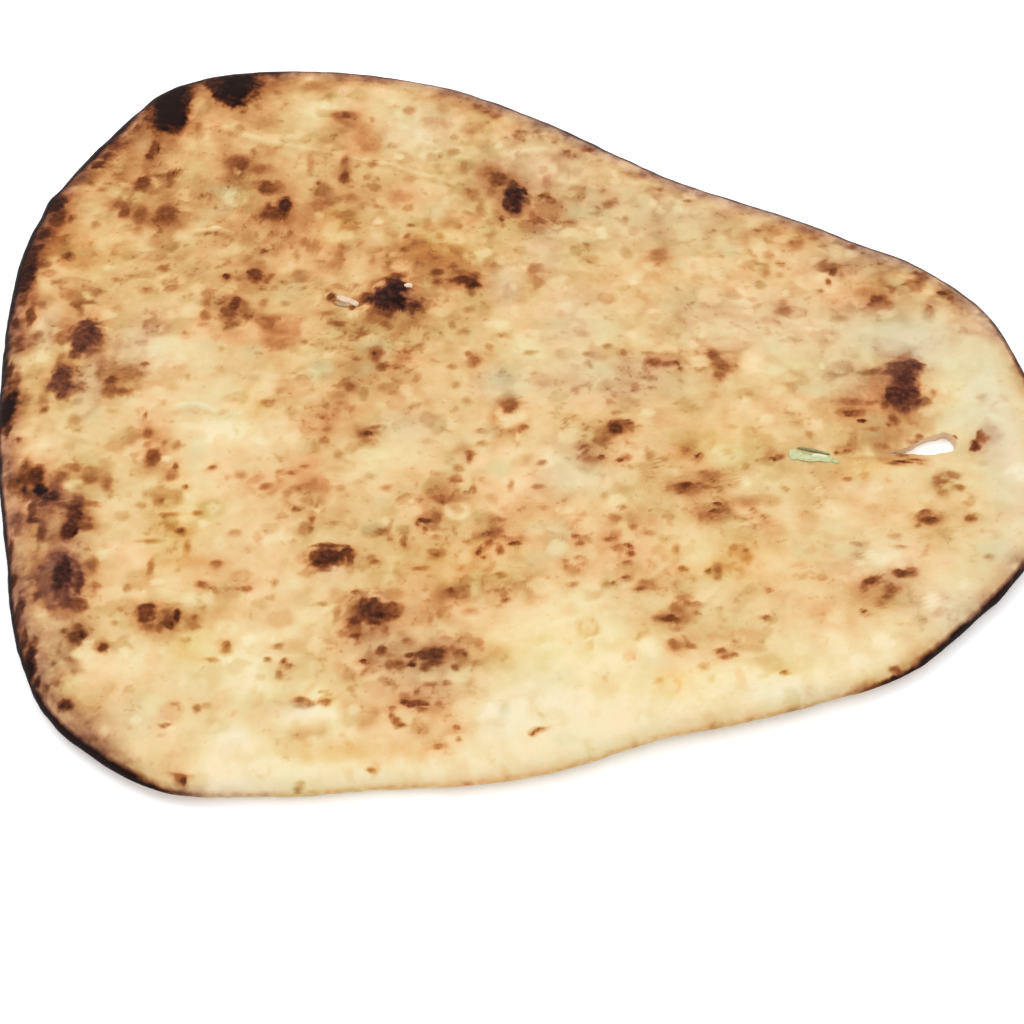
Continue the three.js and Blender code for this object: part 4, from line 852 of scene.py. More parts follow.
def mark_layers(places):
    """How far inside a mark each place is (0.5 on its outline), and the mark's depth: three
    rows of each, for the soft marks, the brown ones and the dark ones."""
    pushed = pushed_about(places, "marks")
    shape, total = np.zeros((3, len(places))), np.zeros((3, len(places)))
    weight = np.full((3, len(places)), TINY)
    for mark in MARKS:
        at, half_x, half_y, percent = photo_patch(mark)
        half_x, half_y = max(half_x, SMALLEST_MARK), max(half_y, SMALLEST_MARK)
        depth = percent / 100
        layer = int(depth >= BROWN_FROM) + int(depth >= DARK_FROM)
        near = near_indices(pushed, at, 2 * half_x, 2 * half_y)
        inside = np.clip(1 - ovalness(pushed[near], at, half_x, half_y) / 2, 0, 1)
        shape[layer, near] = np.maximum(shape[layer, near], inside)
        weight[layer, near] += inside**4
        total[layer, near] += inside**4 * depth
    return shape, total / weight


def mark_glow(places):
    """A wide soft glow round the brown and dark marks, stronger round the darker ones."""
    low, high = HALO["percent"]
    glow = [
        (*oval, (percent - low) / (high - low))
        for *oval, percent in MARKS if percent >= 100 * BROWN_FROM
    ]
    pushed = pushed_about(places, "glow")
    return np.minimum(1.0, stamped(pushed, glow, outer=HALO["outer"], wider=HALO["wider"]))


def mark_rise(places):
    """How scorched and puffed each place is, from 0 to 1."""
    shape, depth = mark_layers(places)
    return (eased("puffed", shape) * depth).max(axis=0)


def blotted(places):
    """Overlapping soft blots of chance tone, from about -1 to 1, for tone and for hue."""
    rng = np.random.default_rng(SEED + 3)
    count = BLOTS["count"]
    at = spread_over_bread(rng.random(count), rng.random(count))
    radii = between(BLOTS["radius"], rng.random(count) ** BLOTS["skew"])
    longer = between(BLOTS["longer"], rng.random(count))
    tones = rng.normal(0.0, BLOTS["spread"], (count, 2))
    pushed = pushed_about(places, "blots")
    layers = np.zeros((len(places), 2))
    for k in np.argsort(-radii):
        half_x, half_y = radii[k] * longer[k], radii[k] / math.sqrt(longer[k])
        near = near_indices(pushed, at[k], half_x, half_y)
        off = ovalness(pushed[near], at[k], half_x, half_y)
        cover = BLOTS["cover"] * (1 - smoothstep(BLOTS["whole until"], 1.0, off))[:, None]
        layers[near] = layers[near] * (1 - cover) + tones[k] * cover
    return layers.T


def ridge_field(places):
    """The folds: a ridge's own rise, used for relief and for a painted highlight, and the painted
    shade on its near side.
    """
    rise, shade = np.zeros((2, len(places)))
    pushed = pushed_about(places, "ridges")
    for path, height, width in RIDGES:
        line = [seen_at(*pixel) for pixel in path]
        below = pushed + (0, RIDGE_REACH["below"] * width)
        off, off_below = (distance_to_path(at, line, ring=False) / width for at in (pushed, below))
        rise = np.maximum(rise, height * (1 - smoothstep(0, RIDGE_REACH["rise"], off)))
        shade = np.maximum(shade, height * (1 - smoothstep(0, RIDGE_REACH["shade"], off_below)))
    return rise, shade


def top_relief(places, blisters):
    """How far the crust's small relief raises each place."""
    points = lifted(places, 0.0)
    marks = mark_rise(places)
    relief = RELIEF["wrinkles"] * waves(points, "wrinkles")
    relief += RELIEF["crumple"] * waves(points, "crumple")
    relief += small_blister_field(places, blisters)
    relief += RELIEF["marks"] * marks + RELIEF["ridges"] * ridge_field(places)[0]
    dip = 1 - smoothstep(0, TEAR_DIP["reach"], distance_to_path(places, TEAR))
    relief -= TEAR_DIP["depth"] * dip
    return relief + RELIEF["crackle"] * waves(points, "crackle") * eased("crackled", marks)


# ---- The bread's mesh ------------------------------------------------------------------

TOP_CELLS = 260
UNDER_CELLS = TOP_CELLS // 2
EDGE_STEPS = 9
# How far in the rounded edge begins above and below, how high up it is widest, and how much
# its crust's unevenness also goes up and down.
EDGE_ROUND = {"top": 5.0, "under": 3.0, "widest": 0.42, "lift": 0.6}
LOW_EDGE_SMOOTHING = 6  # steps
UNDER_INSET = 8.0
UNDER_SLICE = 9.0  # the height at which the underside's chance pattern is taken
RIM_RELIEF = 0.35  # the share of the small relief that is left at the edge


def grid_places(cells, inset):
    """A square grid laid over the bread, its rings following the outline."""
    line = np.linspace(-1, 1, cells + 1)
    u, v = (grid.ravel() for grid in np.meshgrid(line, line, indexing="ij"))
    ring = np.maximum(np.abs(u), np.abs(v))
    sideways = np.abs(u) >= np.abs(v)
    with np.errstate(divide="ignore", invalid="ignore"):
        eighths = np.where(sideways, v / u, 2 - u / v)
    eighths = np.nan_to_num(eighths + np.where(np.where(sideways, u < 0, v < 0), 4, 0))
    rim = edge_points(eighths / 8, inset)
    return MIDDLE + (rim - MIDDLE) * ring[:, None]


def border_of(cells):
    """Indices of a grid's border, once round from its corner at u 1, v -1."""
    def at(i, j):
        return i * (cells + 1) + j
    steps = range(cells)
    return (
        [at(cells, k) for k in steps] + [at(cells - k, cells) for k in steps]
        + [at(0, cells - k) for k in steps] + [at(k, 0) for k in steps]
    )


def grid_faces(cells, start, flip=False):
    faces = []
    for i, j in product(range(cells), repeat=2):
        a = start + i * (cells + 1) + j
        face = (a, a + cells + 1, a + cells + 2, a + 1)
        faces.append(face[::-1] if flip else face)
    return faces


def band_faces(upper, lower):
    """Squares between two closed rings of as many points."""
    after = [*range(1, len(upper)), 0]
    return [(upper[k], lower[k], lower[n], upper[n]) for k, n in enumerate(after)]


def halving_faces(fine, coarse):
    """Triangles between a closed ring and one of half as many points."""
    faces = []
    for k, a in enumerate(coarse):
        b = coarse[(k + 1) % len(coarse)]
        first, middle, last = (fine[(2 * k + s) % len(fine)] for s in (0, 1, 2))
        faces += [(a, middle, first), (a, b, middle), (b, last, middle)]
    return faces


def edge_rings(border_z):
    """The rounded edge, ring by ring, from the top's border down to the underside."""
    shares = np.arange(4 * TOP_CELLS) / (4 * TOP_CELLS) - 1 / 8
    low_z = surface_heights(solid_tree, edge_points(shares, EDGE_ROUND["under"]), down=False)
    low_z = circular_blur(low_z, LOW_EDGE_SMOOTHING)
    widest_z = low_z + (border_z - low_z) * EDGE_ROUND["widest"]
    outward = -(edge_points(shares, 1.0) - edge_points(shares, 0.0))
    rings = []
    for step in range(1, EDGE_STEPS + 1):
        angle = math.pi * step / EDGE_STEPS
        over = angle < math.pi / 2
        reach = EDGE_ROUND["top" if over else "under"]
        rise = (border_z - widest_z) if over else (widest_z - low_z)
        place = edge_points(shares, reach * (1 - math.sin(angle)))
        ring = lifted(place, widest_z + math.cos(angle) * rise)
        push = RELIEF["crust"] * waves(ring, "crust") * math.sin(angle)
        ring[:, :2] += outward * push[:, None]
        ring[:, 2] += EDGE_ROUND["lift"] * push * math.cos(angle)
        rings.append(ring)
    return rings


def bread_mesh(blisters):
    """The whole bread as points and faces: the top's grid, the rounded edge, the underside."""
    top = grid_places(TOP_CELLS, EDGE_ROUND["top"])
    inset = distance_to_outline(top) - EDGE_ROUND["top"]
    relief = top_relief(top, blisters) * between((RIM_RELIEF, 1.0), eased("rim relief", inset))
    top_z = smooth_heights(top, TOP_CELLS, True) + relief
    points = [lifted(top, top_z)]
    faces = grid_faces(TOP_CELLS, 0)
    count = len(top)
    border = border_of(TOP_CELLS)
    for ring in edge_rings(top_z[border]):
        points.append(ring)
        lower = list(range(count, count + len(ring)))
        faces += band_faces(border, lower)
        border = lower
        count += len(ring)

    under = grid_places(UNDER_CELLS, UNDER_INSET)
    under_z = smooth_heights(under, UNDER_CELLS, False)
    uneven = RELIEF["underside"] * waves(lifted(under, UNDER_SLICE), "underside")
    under_z = np.maximum(0.0, under_z + uneven * eased("off table", under_z))
    points.append(lifted(under, under_z))
    faces += grid_faces(UNDER_CELLS, count, flip=True)
    faces += halving_faces(border, [count + k for k in border_of(UNDER_CELLS)])
    return np.vstack(points), faces


def mesh_object(name, points, faces):
    """A piece in the scene, from points in mm."""
    mesh = bpy.data.meshes.new(name)
    mesh.from_pydata([tuple(p) for p in np.asarray(points) * MM], [], faces)
    mesh.update()
    return put_in_scene(name, mesh)


def shade_smooth(mesh):
    mesh.polygons.foreach_set("use_smooth", [True] * len(mesh.polygons))


# ---- The tear --------------------------------------------------------------------------

TEAR_STEP = 0.45
TEAR_SMOOTHING = 1.2  # steps
TEAR_LEVELS = np.linspace(-3, 12, 34)
TEAR_JAG = 0.34


def tear_cutter():
    """A closed upright plug with ragged sides, in the shape of the tear."""
    count = int(lengths_along(closed(TEAR))[-1] / TEAR_STEP)
    ring = circular_blur(even_ring(TEAR, count), TEAR_SMOOTHING)
    out = -left_of(ring_steps(ring))
    points = []
    for z in TEAR_LEVELS:
        level = lifted(ring, z)
        level[:, :2] += out * (TEAR_JAG * waves(level, "tear"))[:, None]
        points.append(level)
    faces = []
    for low in range(0, (len(TEAR_LEVELS) - 1) * count, count):
        for k in range(count):
            after = (k + 1) % count
            faces.append((low + k, low + after, low + count + after, low + count + k))
    faces.append(tuple(range(count))[::-1])
    faces.append(tuple((len(TEAR_LEVELS) - 1) * count + k for k in range(count)))
    return mesh_object("tear_cutter", np.vstack(points), faces)


def cut(piece, cutter):
    """Takes the cutter out of the piece and throws the cutter away."""
    modifier = piece.modifiers.new("tear", "BOOLEAN")
    modifier.operation = "DIFFERENCE"
    modifier.solver = "MANIFOLD"
    modifier.object = cutter
    graph = bpy.context.evaluated_depsgraph_get()
    made = bpy.data.meshes.new_from_object(piece.evaluated_get(graph))
    piece.modifiers.clear()
    spare = (piece.data, cutter.data)
    piece.data = made
    made.name = piece.name
    bpy.data.objects.remove(cutter)
    for mesh in spare:
        bpy.data.meshes.remove(mesh)


# ---- Materials -------------------------------------------------------------------------

LIGHT_LEVEL = 1.52  # what a level white surface sends back under the lights below
BLOT_DETAIL, BLOT_ROUGHNESS = 2.0, 0.55


def linear(channel):
    share = channel / 255
    return share / 12.92 if share <= 0.04045 else ((share + 0.055) / 1.055) ** 2.4


def seen_colour(colour):
    """The surface colour that shows as this screen colour under the scene's light."""
    return tuple(min(1.0, linear(channel) / LIGHT_LEVEL) for channel in colour) + (1.0,)


class Shader:
    """A material's nodes, joined by short calls."""

    def __init__(self, name):
        self.material = bpy.data.materials.new(name)
        self.material.use_nodes = True
        self.tree = self.material.node_tree
        self.surface = self.tree.nodes["Principled BSDF"]
        self.place = self.new("ShaderNodeTexCoord").outputs["Object"]

    def new(self, kind, inputs=(), **settings):
        node = self.tree.nodes.new(kind)
        for key, value in settings.items():
            setattr(node, key, value)
        self.fill(node, dict(inputs))
        return node

    def fill(self, node, inputs):
        """Sets a node's inputs to values, or joins them to other nodes' outputs."""
        for key, value in inputs.items():
            if isinstance(value, bpy.types.NodeSocket):
                self.tree.links.new(value, node.inputs[key])
            else:
                node.inputs[key].default_value = value

    def maths(self, operation, first, second, clamp=False):
        inputs = {0: first, 1: second}
        return self.new("ShaderNodeMath", inputs, operation=operation, use_clamp=clamp).outputs[0]

    def plus(self, first, second, clamp=False):
        return self.maths("ADD", first, second, clamp)

    def times(self, first, second, clamp=False):
        return self.maths("MULTIPLY", first, second, clamp)

    def less(self, first, second):
        return self.maths("SUBTRACT", first, second)

    def steps(self, value, low, high, to_low=0.0, to_high=1.0):
        """Goes smoothly from one number to another as a value goes from low to high."""
        names = ("Value", "From Min", "From Max", "To Min", "To Max")
        inputs = zip(names, (value, low, high, to_low, to_high))
        node = self.new("ShaderNodeMapRange", inputs, interpolation_type="SMOOTHSTEP", clamp=True)
        return node.outputs["Result"]

    def eased(self, name, value, *limits):
        return self.steps(value, *LIMITS[name], *limits)

    def mixed(self, share, first, second):
        inputs = {"Factor": share, 6: first, 7: second}
        return self.new("ShaderNodeMix", inputs, data_type="RGBA", clamp_factor=True).outputs[2]

    def stored(self, name, output="Fac"):
        """What the vertices hold under this name."""
        return self.new("ShaderNodeAttribute", attribute_name=name).outputs[output]

    def rows(self, name):
        """The three numbers of a row that the vertices hold."""
        return self.new("ShaderNodeSeparateXYZ", {0: self.stored(name, "Vector")}).outputs[:]

    def noise(self, size, detail, shift, roughness=0.6):
        """Soft random values about 0.5, with features of this size in mm."""
        scale = [1 / (s * MM) for s in size]
        inputs = {"Vector": self.place, "Scale": scale, "Location": shift}
        place = self.new("ShaderNodeMapping", inputs).outputs[0]
        inputs = {"Vector": place, "Scale": 1.0, "Detail": detail, "Roughness": roughness}
        return self.new("ShaderNodeTexNoise", inputs).outputs["Fac"]

    def swing(self, value, amount):
        """A value about 0.5 turned into one about 0."""
        return self.times(self.less(value, 0.5), amount)

    def blots(self, size, limit, shift, soft):
        """Uneven small blots where noise of this size rises above a limit."""
        grain = self.noise(size, BLOT_DETAIL, shift, BLOT_ROUGHNESS)
        return self.steps(grain, limit, self.plus(limit, soft))

    def ramp(self, value, stops):
        """Goes through colours, given as they show on the screen."""
        node = self.new("ShaderNodeValToRGB", {0: value})
        elements = node.color_ramp.elements
        stops = [(position, seen_colour(colour)) for position, colour in stops]
        elements[0].position, elements[0].color = stops[0]
        elements[1].position, elements[1].color = stops[-1]
        for position, colour in stops[1:-1]:
            elements.new(position).color = colour
        return node.outputs["Color"]


def store(mesh, name, values):
    """Keeps a number on each vertex, or a row of three where there are three rows of values."""
    kind, key = ("FLOAT", "value") if values.ndim == 1 else ("FLOAT_VECTOR", "vector")
    layer = mesh.attributes.new(name, kind, "POINT")
    layer.data.foreach_set(key, np.ascontiguousarray(values.T, np.float32).ravel())


# ---- Slivers on top: the herb, and the torn skin of the burst blister, with painted glints ---

SLIVER_SIDES = 12
SLIVER_STEP = 0.4
FEWEST_STEPS = 5
SLIVER_BLUNTNESS = 4
SLIVER_RISE = 0.4  # how far its middle stands off the crust, of its half height
SLIVER_SLICE = 3.7  # how far apart in height the slivers' chance patterns are taken
SLIVER_SEEDS = 7
# How uneven its width and height are: the amount, the size of features, and the seed's step.
SLIVER_UNEVEN = ((0.45, (1.8, 1.8, 1.0), 0), (0.35, (1.7, 1.7, 1.0), 5))
SLIVER_GRAIN = {"size": (1.6, 1.2, 1.2), "detail": 2, "shift": (2, 5, 8)}
SLIVER_TONE_SWING = 0.8
SLIVER_LOOK = {"Roughness": 0.45, "Specular IOR Level": 0.2}
# A line of pixels, half width and half height in mm, and the tone of its colour ramp.
# The strips of tone 0.8 and 1.0 are the herb's painted glints.
HERB_SLIVERS = [
    ([(790, 452), (798, 454), (808, 456), (818, 456), (827, 457), (835, 458)], 1.4, 0.32, 0.6),
    ([(792, 448), (794, 453), (797, 459)], 1.2, 0.3, 0.55),
    ([(797, 447), (805, 448), (813, 449), (822, 451), (831, 452)], 0.42, 0.42, 0.05),
    ([(800, 452), (808, 453), (815, 453)], 0.4, 0.45, 0.35),
    ([(799, 457), (806, 457), (813, 458)], 0.5, 0.45, 0.8),
    ([(811, 455), (818, 454), (824, 455), (829, 456)], 0.7, 0.5, 1.0),
    ([(828, 457), (834, 459), (840, 461)], 0.6, 0.25, 0.4),
]
# The first strip is the torn flap, its pale cream partly a painted highlight on its lit edge; the
# last is a painted glint.
BLISTER_SKIN_AND_GLINT = [
    ([(337, 297), (344, 301), (351, 303), (359, 307)], 0.95, 0.4, 0.8),
    ([(334, 303), (341, 306), (350, 308)], 0.5, 0.3, 0.3),
    ([(405, 290), (409, 287), (413, 288)], 0.9, 0.45, 1.0),
]
# The top stop of each ramp is the colour of the painted glints.
HERB_GREENS_AND_GLINTS = [(0.0, (138, 138, 90)), (0.5, (202, 206, 150)), (1.0, (236, 238, 194))]
SKIN_TONES_AND_GLINT = [(0.0, (150, 120, 90)), (0.4, (196, 160, 118)), (1.0, (255, 226, 196))]


def strip(tree, path, half_width, half_height, seed):
    """A thin closed strip lying on the bread along a line of pixels: points and faces."""
    line = np.array([seen_at(*pixel) for pixel in path])
    length = lengths_along(line)[-1]
    count = max(FEWEST_STEPS, int(length / SLIVER_STEP))
    share = np.linspace(0, 1, count + 1)
    centre = points_along(line, share * length)
    across = left_of(np.gradient(centre, axis=0))
    beneath = surface_heights(tree, centre)
    chance = lifted(centre, SLIVER_SLICE * seed)
    taper = np.sqrt(1 - (2 * share - 1) ** SLIVER_BLUNTNESS)
    wide, tall = (
        half * taper * (1 + uneven * rough_waves(chance, size, seed + more))
        for half, (uneven, size, more) in zip((half_width, half_height), SLIVER_UNEVEN)
    )
    points = [(*centre[0], beneath[0])]
    for k in range(1, count):
        middle = beneath[k] + SLIVER_RISE * half_height
        for turn in np.linspace(0, 2 * math.pi, SLIVER_SIDES, endpoint=False):
            x, y = centre[k] + across[k] * wide[k] * math.cos(turn)
            points.append((x, y, middle + tall[k] * math.sin(turn)))
    points.append((*centre[-1], beneath[-1]))
    faces = []
    for side in range(SLIVER_SIDES):
        after = (side + 1) % SLIVER_SIDES
        faces.append((0, 1 + side, 1 + after))
        for k in range(count - 2):
            low, high = 1 + k * SLIVER_SIDES, 1 + (k + 1) * SLIVER_SIDES
            faces.append((low + side, high + side, high + after, low + after))
        last = 1 + (count - 2) * SLIVER_SIDES
        faces.append((last + side, len(points) - 1, last + after))
    return points, faces


def sliver_piece(name, tree, slivers, stops):
    """Several strips as one piece, each with its tone, and the material for them."""
    points, faces, tones = [], [], []
    for k, (path, half_width, half_height, tone) in enumerate(slivers):
        more, ring = strip(tree, path, half_width, half_height, SLIVER_SEEDS * k + len(path))
        faces += [tuple(len(points) + corner for corner in face) for face in ring]
        points += more
        tones += [tone] * len(more)
    piece = mesh_object(name, points, faces)
    store(piece.data, "tone", np.array(tones))
    shade_smooth(piece.data)
    shader = Shader(name)
    swing = shader.swing(shader.noise(**SLIVER_GRAIN), SLIVER_TONE_SWING)
    tone = shader.plus(shader.stored("tone"), swing, clamp=True)
    shader.fill(shader.surface, {"Base Color": shader.ramp(tone, stops), **SLIVER_LOOK})
    piece.data.materials.append(shader.material)
    return piece


# ---- Browning, with painted light and shade, stored on the vertices --------------------

BASE_TOAST = 0.252
# How much each thing adds to the crust's toasting, and to how busy it is with flecks. Some stand
# for light instead: 'shade' and 'ridges' are the painted shade and painted highlight of the folds,
# 'lit front edge' is painted light on the front edge, and 'back' is partly painted shade.
TOAST = {
    "back": 0.12, "patches": 0.1, "mottle": 0.08, "blisters": 0.15, "shade": 0.14,
    "ridges": -0.16, "lit front edge": -0.14,
}
BUSY = {"waves": 0.12, "patches": 0.1, "under": 0.1}
BLOT_LIMITS = (-1.0, 0.7)
BLOT_TONE = {"pale": 0.18, "dark": 0.25}
# The crust's lean to yellow, and what changes it.
LEAN = {"base": 0.45, "waves": 0.5, "blots": 0.4, "orange": -0.5, "greying_and_shade": 0.35}
GREEN_BY_CHANCE = 0.5
RIM_GREYING = 0.6
# How uneven the rim's char and brown reach in, and the depth of the brown with its swing.
CHAR_UNEVEN, BROWN_UNEVEN = 0.5, 0.6
BROWN_SHARE = {"least": 0.85, "swing": 0.5}
BACK_WEAR = 0.5  # how much of the char is worn off the back's sides
TEAR_INSET = 6.0  # the tear lies further in than this
HIGHEST_RIM = 1.2


def vectors_of(rows, key):
    values = np.empty(len(rows) * 3)
    rows.foreach_get(key, values)
    return values.reshape(-1, 3)


def crust_tones(points, above, blisters):
    """Between the marks: how toasted the crust is, painted shade and highlights included, how busy
    with flecks, its lean to yellow.
    """
    places = points[:, :2]
    zones = stamped(places, TOASTED_ZONES, together=np.add)
    zones -= stamped(places, PALE_AND_PAINTED_LIGHT_ZONES, together=np.add)
    halo = mark_glow(places)
    rise, shade = ridge_field(places)
    patches = waves(points, "patches")
    blot_tone, blot_hue = np.clip(blotted(places), *BLOT_LIMITS)
    blot_tone *= np.where(blot_tone < 0, BLOT_TONE["pale"], BLOT_TONE["dark"])
    busy = zones + BUSY["waves"] * waves(points, "busy") + BUSY["patches"] * patches
    # Darker towards the back: partly toasting, partly painted shade where the light falls off.
    ground = BASE_TOAST + zones + TOAST["back"] * eased("back", places[:, 1])
    ground += TOAST["patches"] * patches + TOAST["mottle"] * waves(points, "mottle")
    ground += blot_tone * (1 + eased("blotchy", busy))
    ground += TOAST["blisters"] * small_blister_field(places, blisters) + HALO["toast"] * halo
    # Painted light on the folds: paler along a ridge as a painted highlight, darker on its near
    # side as painted shade.
    ground += (TOAST["shade"] * shade + TOAST["ridges"] * rise) * above
    lean = LEAN["base"] + LEAN["waves"] * waves(points, "lean") + LEAN["blots"] * blot_hue
    return ground, busy + BUSY["under"] * (1 - above), lean - HALO["lean"] * halo


def edge_tones(places):
    """The four edge tones at each place, by its direction from the middle."""
    turn = np.degrees(np.arctan2(places[:, 1] - MIDDLE[1], places[:, 0] - MIDDLE[0])) % 360
    table = np.array(EDGE_TONES, float)
    return [np.interp(turn, table[:, 0], table[:, k], period=360) for k in (1, 2, 3, 4)]


def rim_tones(points, inset, backward, up):
    """How browned the edge is, and the depth of its wider brown."""
    char_reach, char_depth, brown_reach, brown_depth = edge_tones(points[:, :2])
    spread = char_reach * (1 + CHAR_UNEVEN * waves(points, "char"))
    char = char_depth * (1 - eased("char", inset / spread))
    worn = eased("side", up) * eased("backward", backward) * eased("wear", waves(points, "wear"))
    char *= 1 - BACK_WEAR * worn
    blotches = waves(points, "brown rim")
    spread = brown_reach * (1 + BROWN_UNEVEN * blotches)
    brown = brown_depth * (1 - eased("brown", inset / spread))
    brown *= BROWN_SHARE["least"] + BROWN_SHARE["swing"] * blotches
    return np.maximum(char, brown), brown_depth


def browned(piece, blisters):
    """Stores on the vertices what the material needs to know about each place."""
    points = vectors_of(piece.data.vertices, "co") / MM
    backward, up = vectors_of(piece.data.vertex_normals, "vector")[:, 1:].T
    places = points[:, :2]
    above = eased("above", up)
    inset = distance_to_outline(places)
    ground, busy, lean = crust_tones(points, above, blisters)
    rim, brown_depth = rim_tones(points, inset, backward, up)
    shape, depth = mark_layers(places)

    orange = stamped(places, ORANGE_PATCHES)
    # The greener patches at the right end are painted shade.
    green = stamped(places, GREEN_AND_SHADE_PATCHES, outer=1.4)
    green += GREEN_BY_CHANCE * eased("green", waves(points, "green"))
    violet = stamped(places, VIOLET_PATCHES, inner=0.5)
    greying_and_shade = stamped(places, GREYING_AND_SHADE_PATCHES, together=np.add)
    lean += LEAN["orange"] * orange + LEAN["greying_and_shade"] * np.clip(greying_and_shade, 0, 1)
    # Painted light: the front edge, turned away from the sun, is made paler so that it shows as
    # bright as a lit edge.
    pale = eased("lit front edge", brown_depth) * (1 - eased("lit front reach", inset))
    ground += TOAST["lit front edge"] * pale
    # Greyer near the browned rim, up to twice as much on the right half; towards the right end
    # this is painted shade, where the tip rolls down from the light.
    desaturation = eased("brown edge", brown_depth) * (1 + eased("right", places[:, 0]))
    greying_and_shade += RIM_GREYING * desaturation * (1 - eased("rim greying", inset))
    torn = eased("torn", distance_to_path(places, TEAR)) * (inset > TEAR_INSET)
    torn *= eased("upright", up) * eased("not under", up)
    for name, values in {
        "ground": np.clip(ground, 0, 1), "busy": np.clip(busy, -1, 1),
        "lean": np.clip(lean, 0, 1), "rim": np.clip(rim, 0, HIGHEST_RIM), "greying_and_shade": greying_and_shade,
        "orange": orange * above, "green": green * above, "violet": violet * above,
        "torn": torn, "mark_shape": shape * above, "mark_depth": depth,
    }.items():
        store(piece.data, name, values)


# ---- The crust's material --------------------------------------------------------------

# Colours of the crust from unbrowned to black, as they show on the screen: on dough that
# leans to peach, on dough that leans to yellow, and where the char is violet.
PEACH_CRUST = [
    (0.00, (252, 232, 190)), (0.14, (248, 218, 168)), (0.28, (244, 202, 148)),
    (0.42, (230, 176, 118)), (0.55, (208, 143, 88)), (0.68, (176, 106, 58)),
    (0.80, (132, 70, 33)), (0.90, (84, 40, 20)), (1.00, (32, 14, 10)),
]
YELLOW_CRUST = [
    (0.00, (248, 234, 190)), (0.14, (238, 220, 166)), (0.28, (228, 202, 142)),
    (0.42, (212, 178, 114)), (0.55, (190, 146, 84)), (0.68, (158, 108, 56)),
    (0.80, (120, 70, 34)), (0.90, (78, 40, 21)), (1.00, (32, 14, 10)),
]
VIOLET_CRUST = [
    (0.50, (214, 168, 128)), (0.62, (180, 130, 104)), (0.72, (140, 94, 82)),
    (0.80, (112, 70, 64)), (0.90, (68, 40, 40)), (1.00, (32, 19, 22)),
]
GREENISH = (206, 208, 160)
ORANGE_BROWN = (214, 138, 78)
TORN_CRUMB = (250, 216, 176)
# How strongly the patches tint the crust, and how much less the greying, painted shade included,
# shows on marks.
TINT = {"orange": 0.35, "green": 0.5, "greying_and_shade": -0.28, "marks": 0.7}
# From where to where an outline of a soft, a brown and a dark mark blends in.
MARK_EDGES = ((0.14, 0.92), (0.2, 0.86), (0.24, 0.72))
# Noise in mm, with its detail and where it is taken: the grain, what makes outlines ragged,
# and what makes marks lively. Then how strongly each shows.
NOISE = {
    "grain": ((3.0, 3.0, 3.0), 3, (1, 8, 5)), "ragged": ((2.2, 2.2, 2.0), 1, (5, 6, 1)),
    "lively": ((1.5, 1.4, 1.4), 2, (7, 2, 3)),
}
GRAIN = {"tone": 0.2, "gloss": 0.25}
RAGGED = {"marks": 0.5, "rim": 0.45, "bump": 0.35}
LIVELY = 0.3
FLECK_BUMP = 0.9
# Flecks between the marks: their size, where their noise is taken, their softness and
# strength, and the noise above which they show, on calm crust and on busy crust.
FLECKS = (
    ((4.8, 4.8, 5.0), (4, 1, 0), 0.17, 0.17, (0.61, 0.49)),
    ((2.5, 2.5, 2.6), (9, 3, 0), 0.15, 0.12, (0.64, 0.52)),
)
GLOSS = (0.3, 1.0, 0.66, 0.56)  # roughness, from 0.66 to 0.56 as the browning grows
CRUST_SPECULAR = 0.035
BUMP = {"Strength": 0.5, "Distance": 0.35 * MM}


def flecked(shader):
    busy = shader.stored("busy")
    coarse, fine = (
        shader.times(shader.blots(size, shader.eased("flecked", busy, *limits), at, soft), amount)
        for size, at, soft, amount, limits in FLECKS
    )
    return shader.maths("MAXIMUM", coarse, fine)


def with_marks(shader, browning, ragged):
    """The browning with the soft, brown and dark marks laid over it."""
    uneven = shader.plus(shader.swing(shader.noise(*NOISE["lively"]), LIVELY), 1.0)
    ragged = shader.times(ragged, RAGGED["marks"])
    layers = zip(shader.rows("mark_shape"), shader.rows("mark_depth"), MARK_EDGES)
    for shape, depth, edges in layers:
        cover = shader.steps(shader.plus(shape, ragged), *edges)
        change = shader.less(shader.times(depth, uneven), browning)
        browning = shader.plus(browning, shader.times(change, cover))
    return browning


def crust_colour(shader, browning, rest, marked):
    """The crust's colour; rest is what neither the rim nor the marks have browned."""
    peach, yellow, violet = (
        shader.ramp(browning, stops) for stops in (PEACH_CRUST, YELLOW_CRUST, VIOLET_CRUST)
    )
    colour = shader.mixed(shader.stored("lean"), peach, yellow)
    share = shader.times(shader.stored("violet"), shader.eased("violet", browning))
    colour = shader.mixed(share, colour, violet)
    share = shader.times(shader.stored("orange"), shader.times(rest, TINT["orange"]))
    colour = shader.mixed(share, colour, seen_colour(ORANGE_BROWN))
    # Greenish tint; at the right end it is painted shade.
    share = shader.times(shader.stored("green"), TINT["green"])
    share = shader.times(share, shader.times(rest, rest), clamp=True)
    colour = shader.mixed(share, colour, seen_colour(GREENISH))
    # Greying takes out saturation; at the right end and along the front edge it is painted shade.
    unmarked = shader.less(1.0, shader.times(marked, TINT["marks"]))
    desaturation = shader.times(shader.times(shader.stored("greying_and_shade"), TINT["greying_and_shade"]), unmarked)
    inputs = {"Saturation": shader.plus(desaturation, 1.0), "Color": colour}
    colour = shader.new("ShaderNodeHueSaturation", inputs).outputs[0]
    return shader.mixed(shader.stored("torn"), colour, seen_colour(TORN_CRUMB))


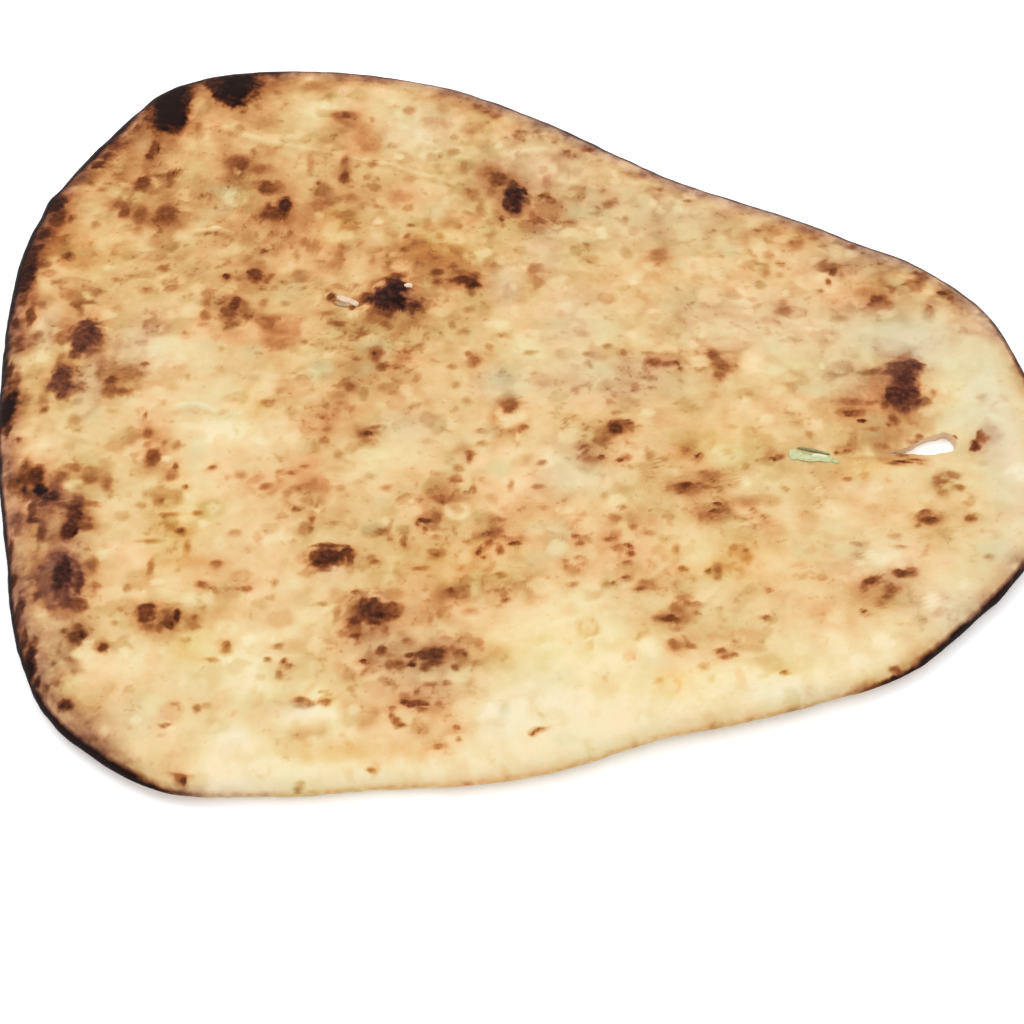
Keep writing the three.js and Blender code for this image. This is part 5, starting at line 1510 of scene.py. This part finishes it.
def crust_material():
    shader = Shader("baked_crust")
    grain = shader.noise(*NOISE["grain"])
    ragged = shader.swing(shader.noise(*NOISE["ragged"]), 1.0)
    flecks = flecked(shader)
    ground = shader.plus(shader.stored("ground"), shader.swing(grain, GRAIN["tone"]))
    browning = with_marks(shader, shader.plus(ground, flecks), ragged)
    marked = shader.eased("marked", browning)

    rim = shader.stored("rim")
    edged = shader.times(shader.eased("edged", rim), RAGGED["rim"])
    rim = shader.plus(rim, shader.times(ragged, edged), clamp=True)
    rest = shader.less(1.0, rim)
    browning = shader.plus(rim, shader.times(browning, rest), clamp=True)
    rest = shader.times(rest, shader.less(1.0, marked))

    height = shader.plus(grain, shader.times(ragged, RAGGED["bump"]))
    height = shader.plus(height, shader.times(flecks, FLECK_BUMP))
    gloss = shader.plus(shader.steps(browning, *GLOSS), shader.swing(grain, GRAIN["gloss"]))
    shader.fill(shader.surface, {
        "Base Color": crust_colour(shader, browning, rest, marked),
        "Roughness": gloss,
        "Specular IOR Level": CRUST_SPECULAR,
        "Normal": shader.new("ShaderNodeBump", {"Height": height, **BUMP}).outputs[0],
    })
    return shader.material


# ---- Floor and light -------------------------------------------------------------------

FLOOR_HALF = 1400.0
FLOOR_HEIGHT = -0.02
FLOOR_LOOK = {"Base Color": (0.98, 0.98, 0.98, 1.0), "Roughness": 0.9, "Specular IOR Level": 0.1}
SKY_LOOK = {"Color": (1.0, 1.0, 1.0, 1.0), "Strength": 1.3}
SUN_STRENGTH = 0.9
SUN_ANGLE = 35.0
SUN_FROM = (-0.5, 0.6, 0.95)


def add_floor():
    corners = [(-1, -1), (1, -1), (1, 1), (-1, 1)]
    points = [(x * FLOOR_HALF, y * FLOOR_HALF, FLOOR_HEIGHT) for x, y in corners]
    floor = mesh_object("floor", points, [(0, 1, 2, 3)])
    shader = Shader("floor_white")
    shader.fill(shader.surface, FLOOR_LOOK)
    floor.data.materials.append(shader.material)


def add_light():
    world = bpy.data.worlds.new("studio")
    bpy.context.scene.world = world
    world.use_nodes = True
    for key, value in SKY_LOOK.items():
        world.node_tree.nodes["Background"].inputs[key].default_value = value
    data = bpy.data.lights.new("softbox", "SUN")
    data.energy = SUN_STRENGTH
    data.angle = math.radians(SUN_ANGLE)
    aim(put_in_scene("softbox", data), SUN_FROM, "Z")
    bpy.context.scene.view_settings.view_transform = "Standard"


# ---- The part --------------------------------------------------------------------------

add_camera()
add_floor()
add_light()

blisters = small_blisters()
bread = mesh_object("bread", *bread_mesh(blisters))
cut(bread, tear_cutter())
browned(bread, blisters)
shade_smooth(bread.data)
bread.data.materials.clear()
bread.data.materials.append(crust_material())
bread_tree = tree_of(bread)
pieces = [
    bread,
    sliver_piece("herb_sliver_and_glints", bread_tree, HERB_SLIVERS, HERB_GREENS_AND_GLINTS),
    sliver_piece("blister_skin_and_glint", bread_tree, BLISTER_SKIN_AND_GLINT, SKIN_TONES_AND_GLINT),
]
for piece in pieces:
    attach(piece, "root")
    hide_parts("naan_bread")
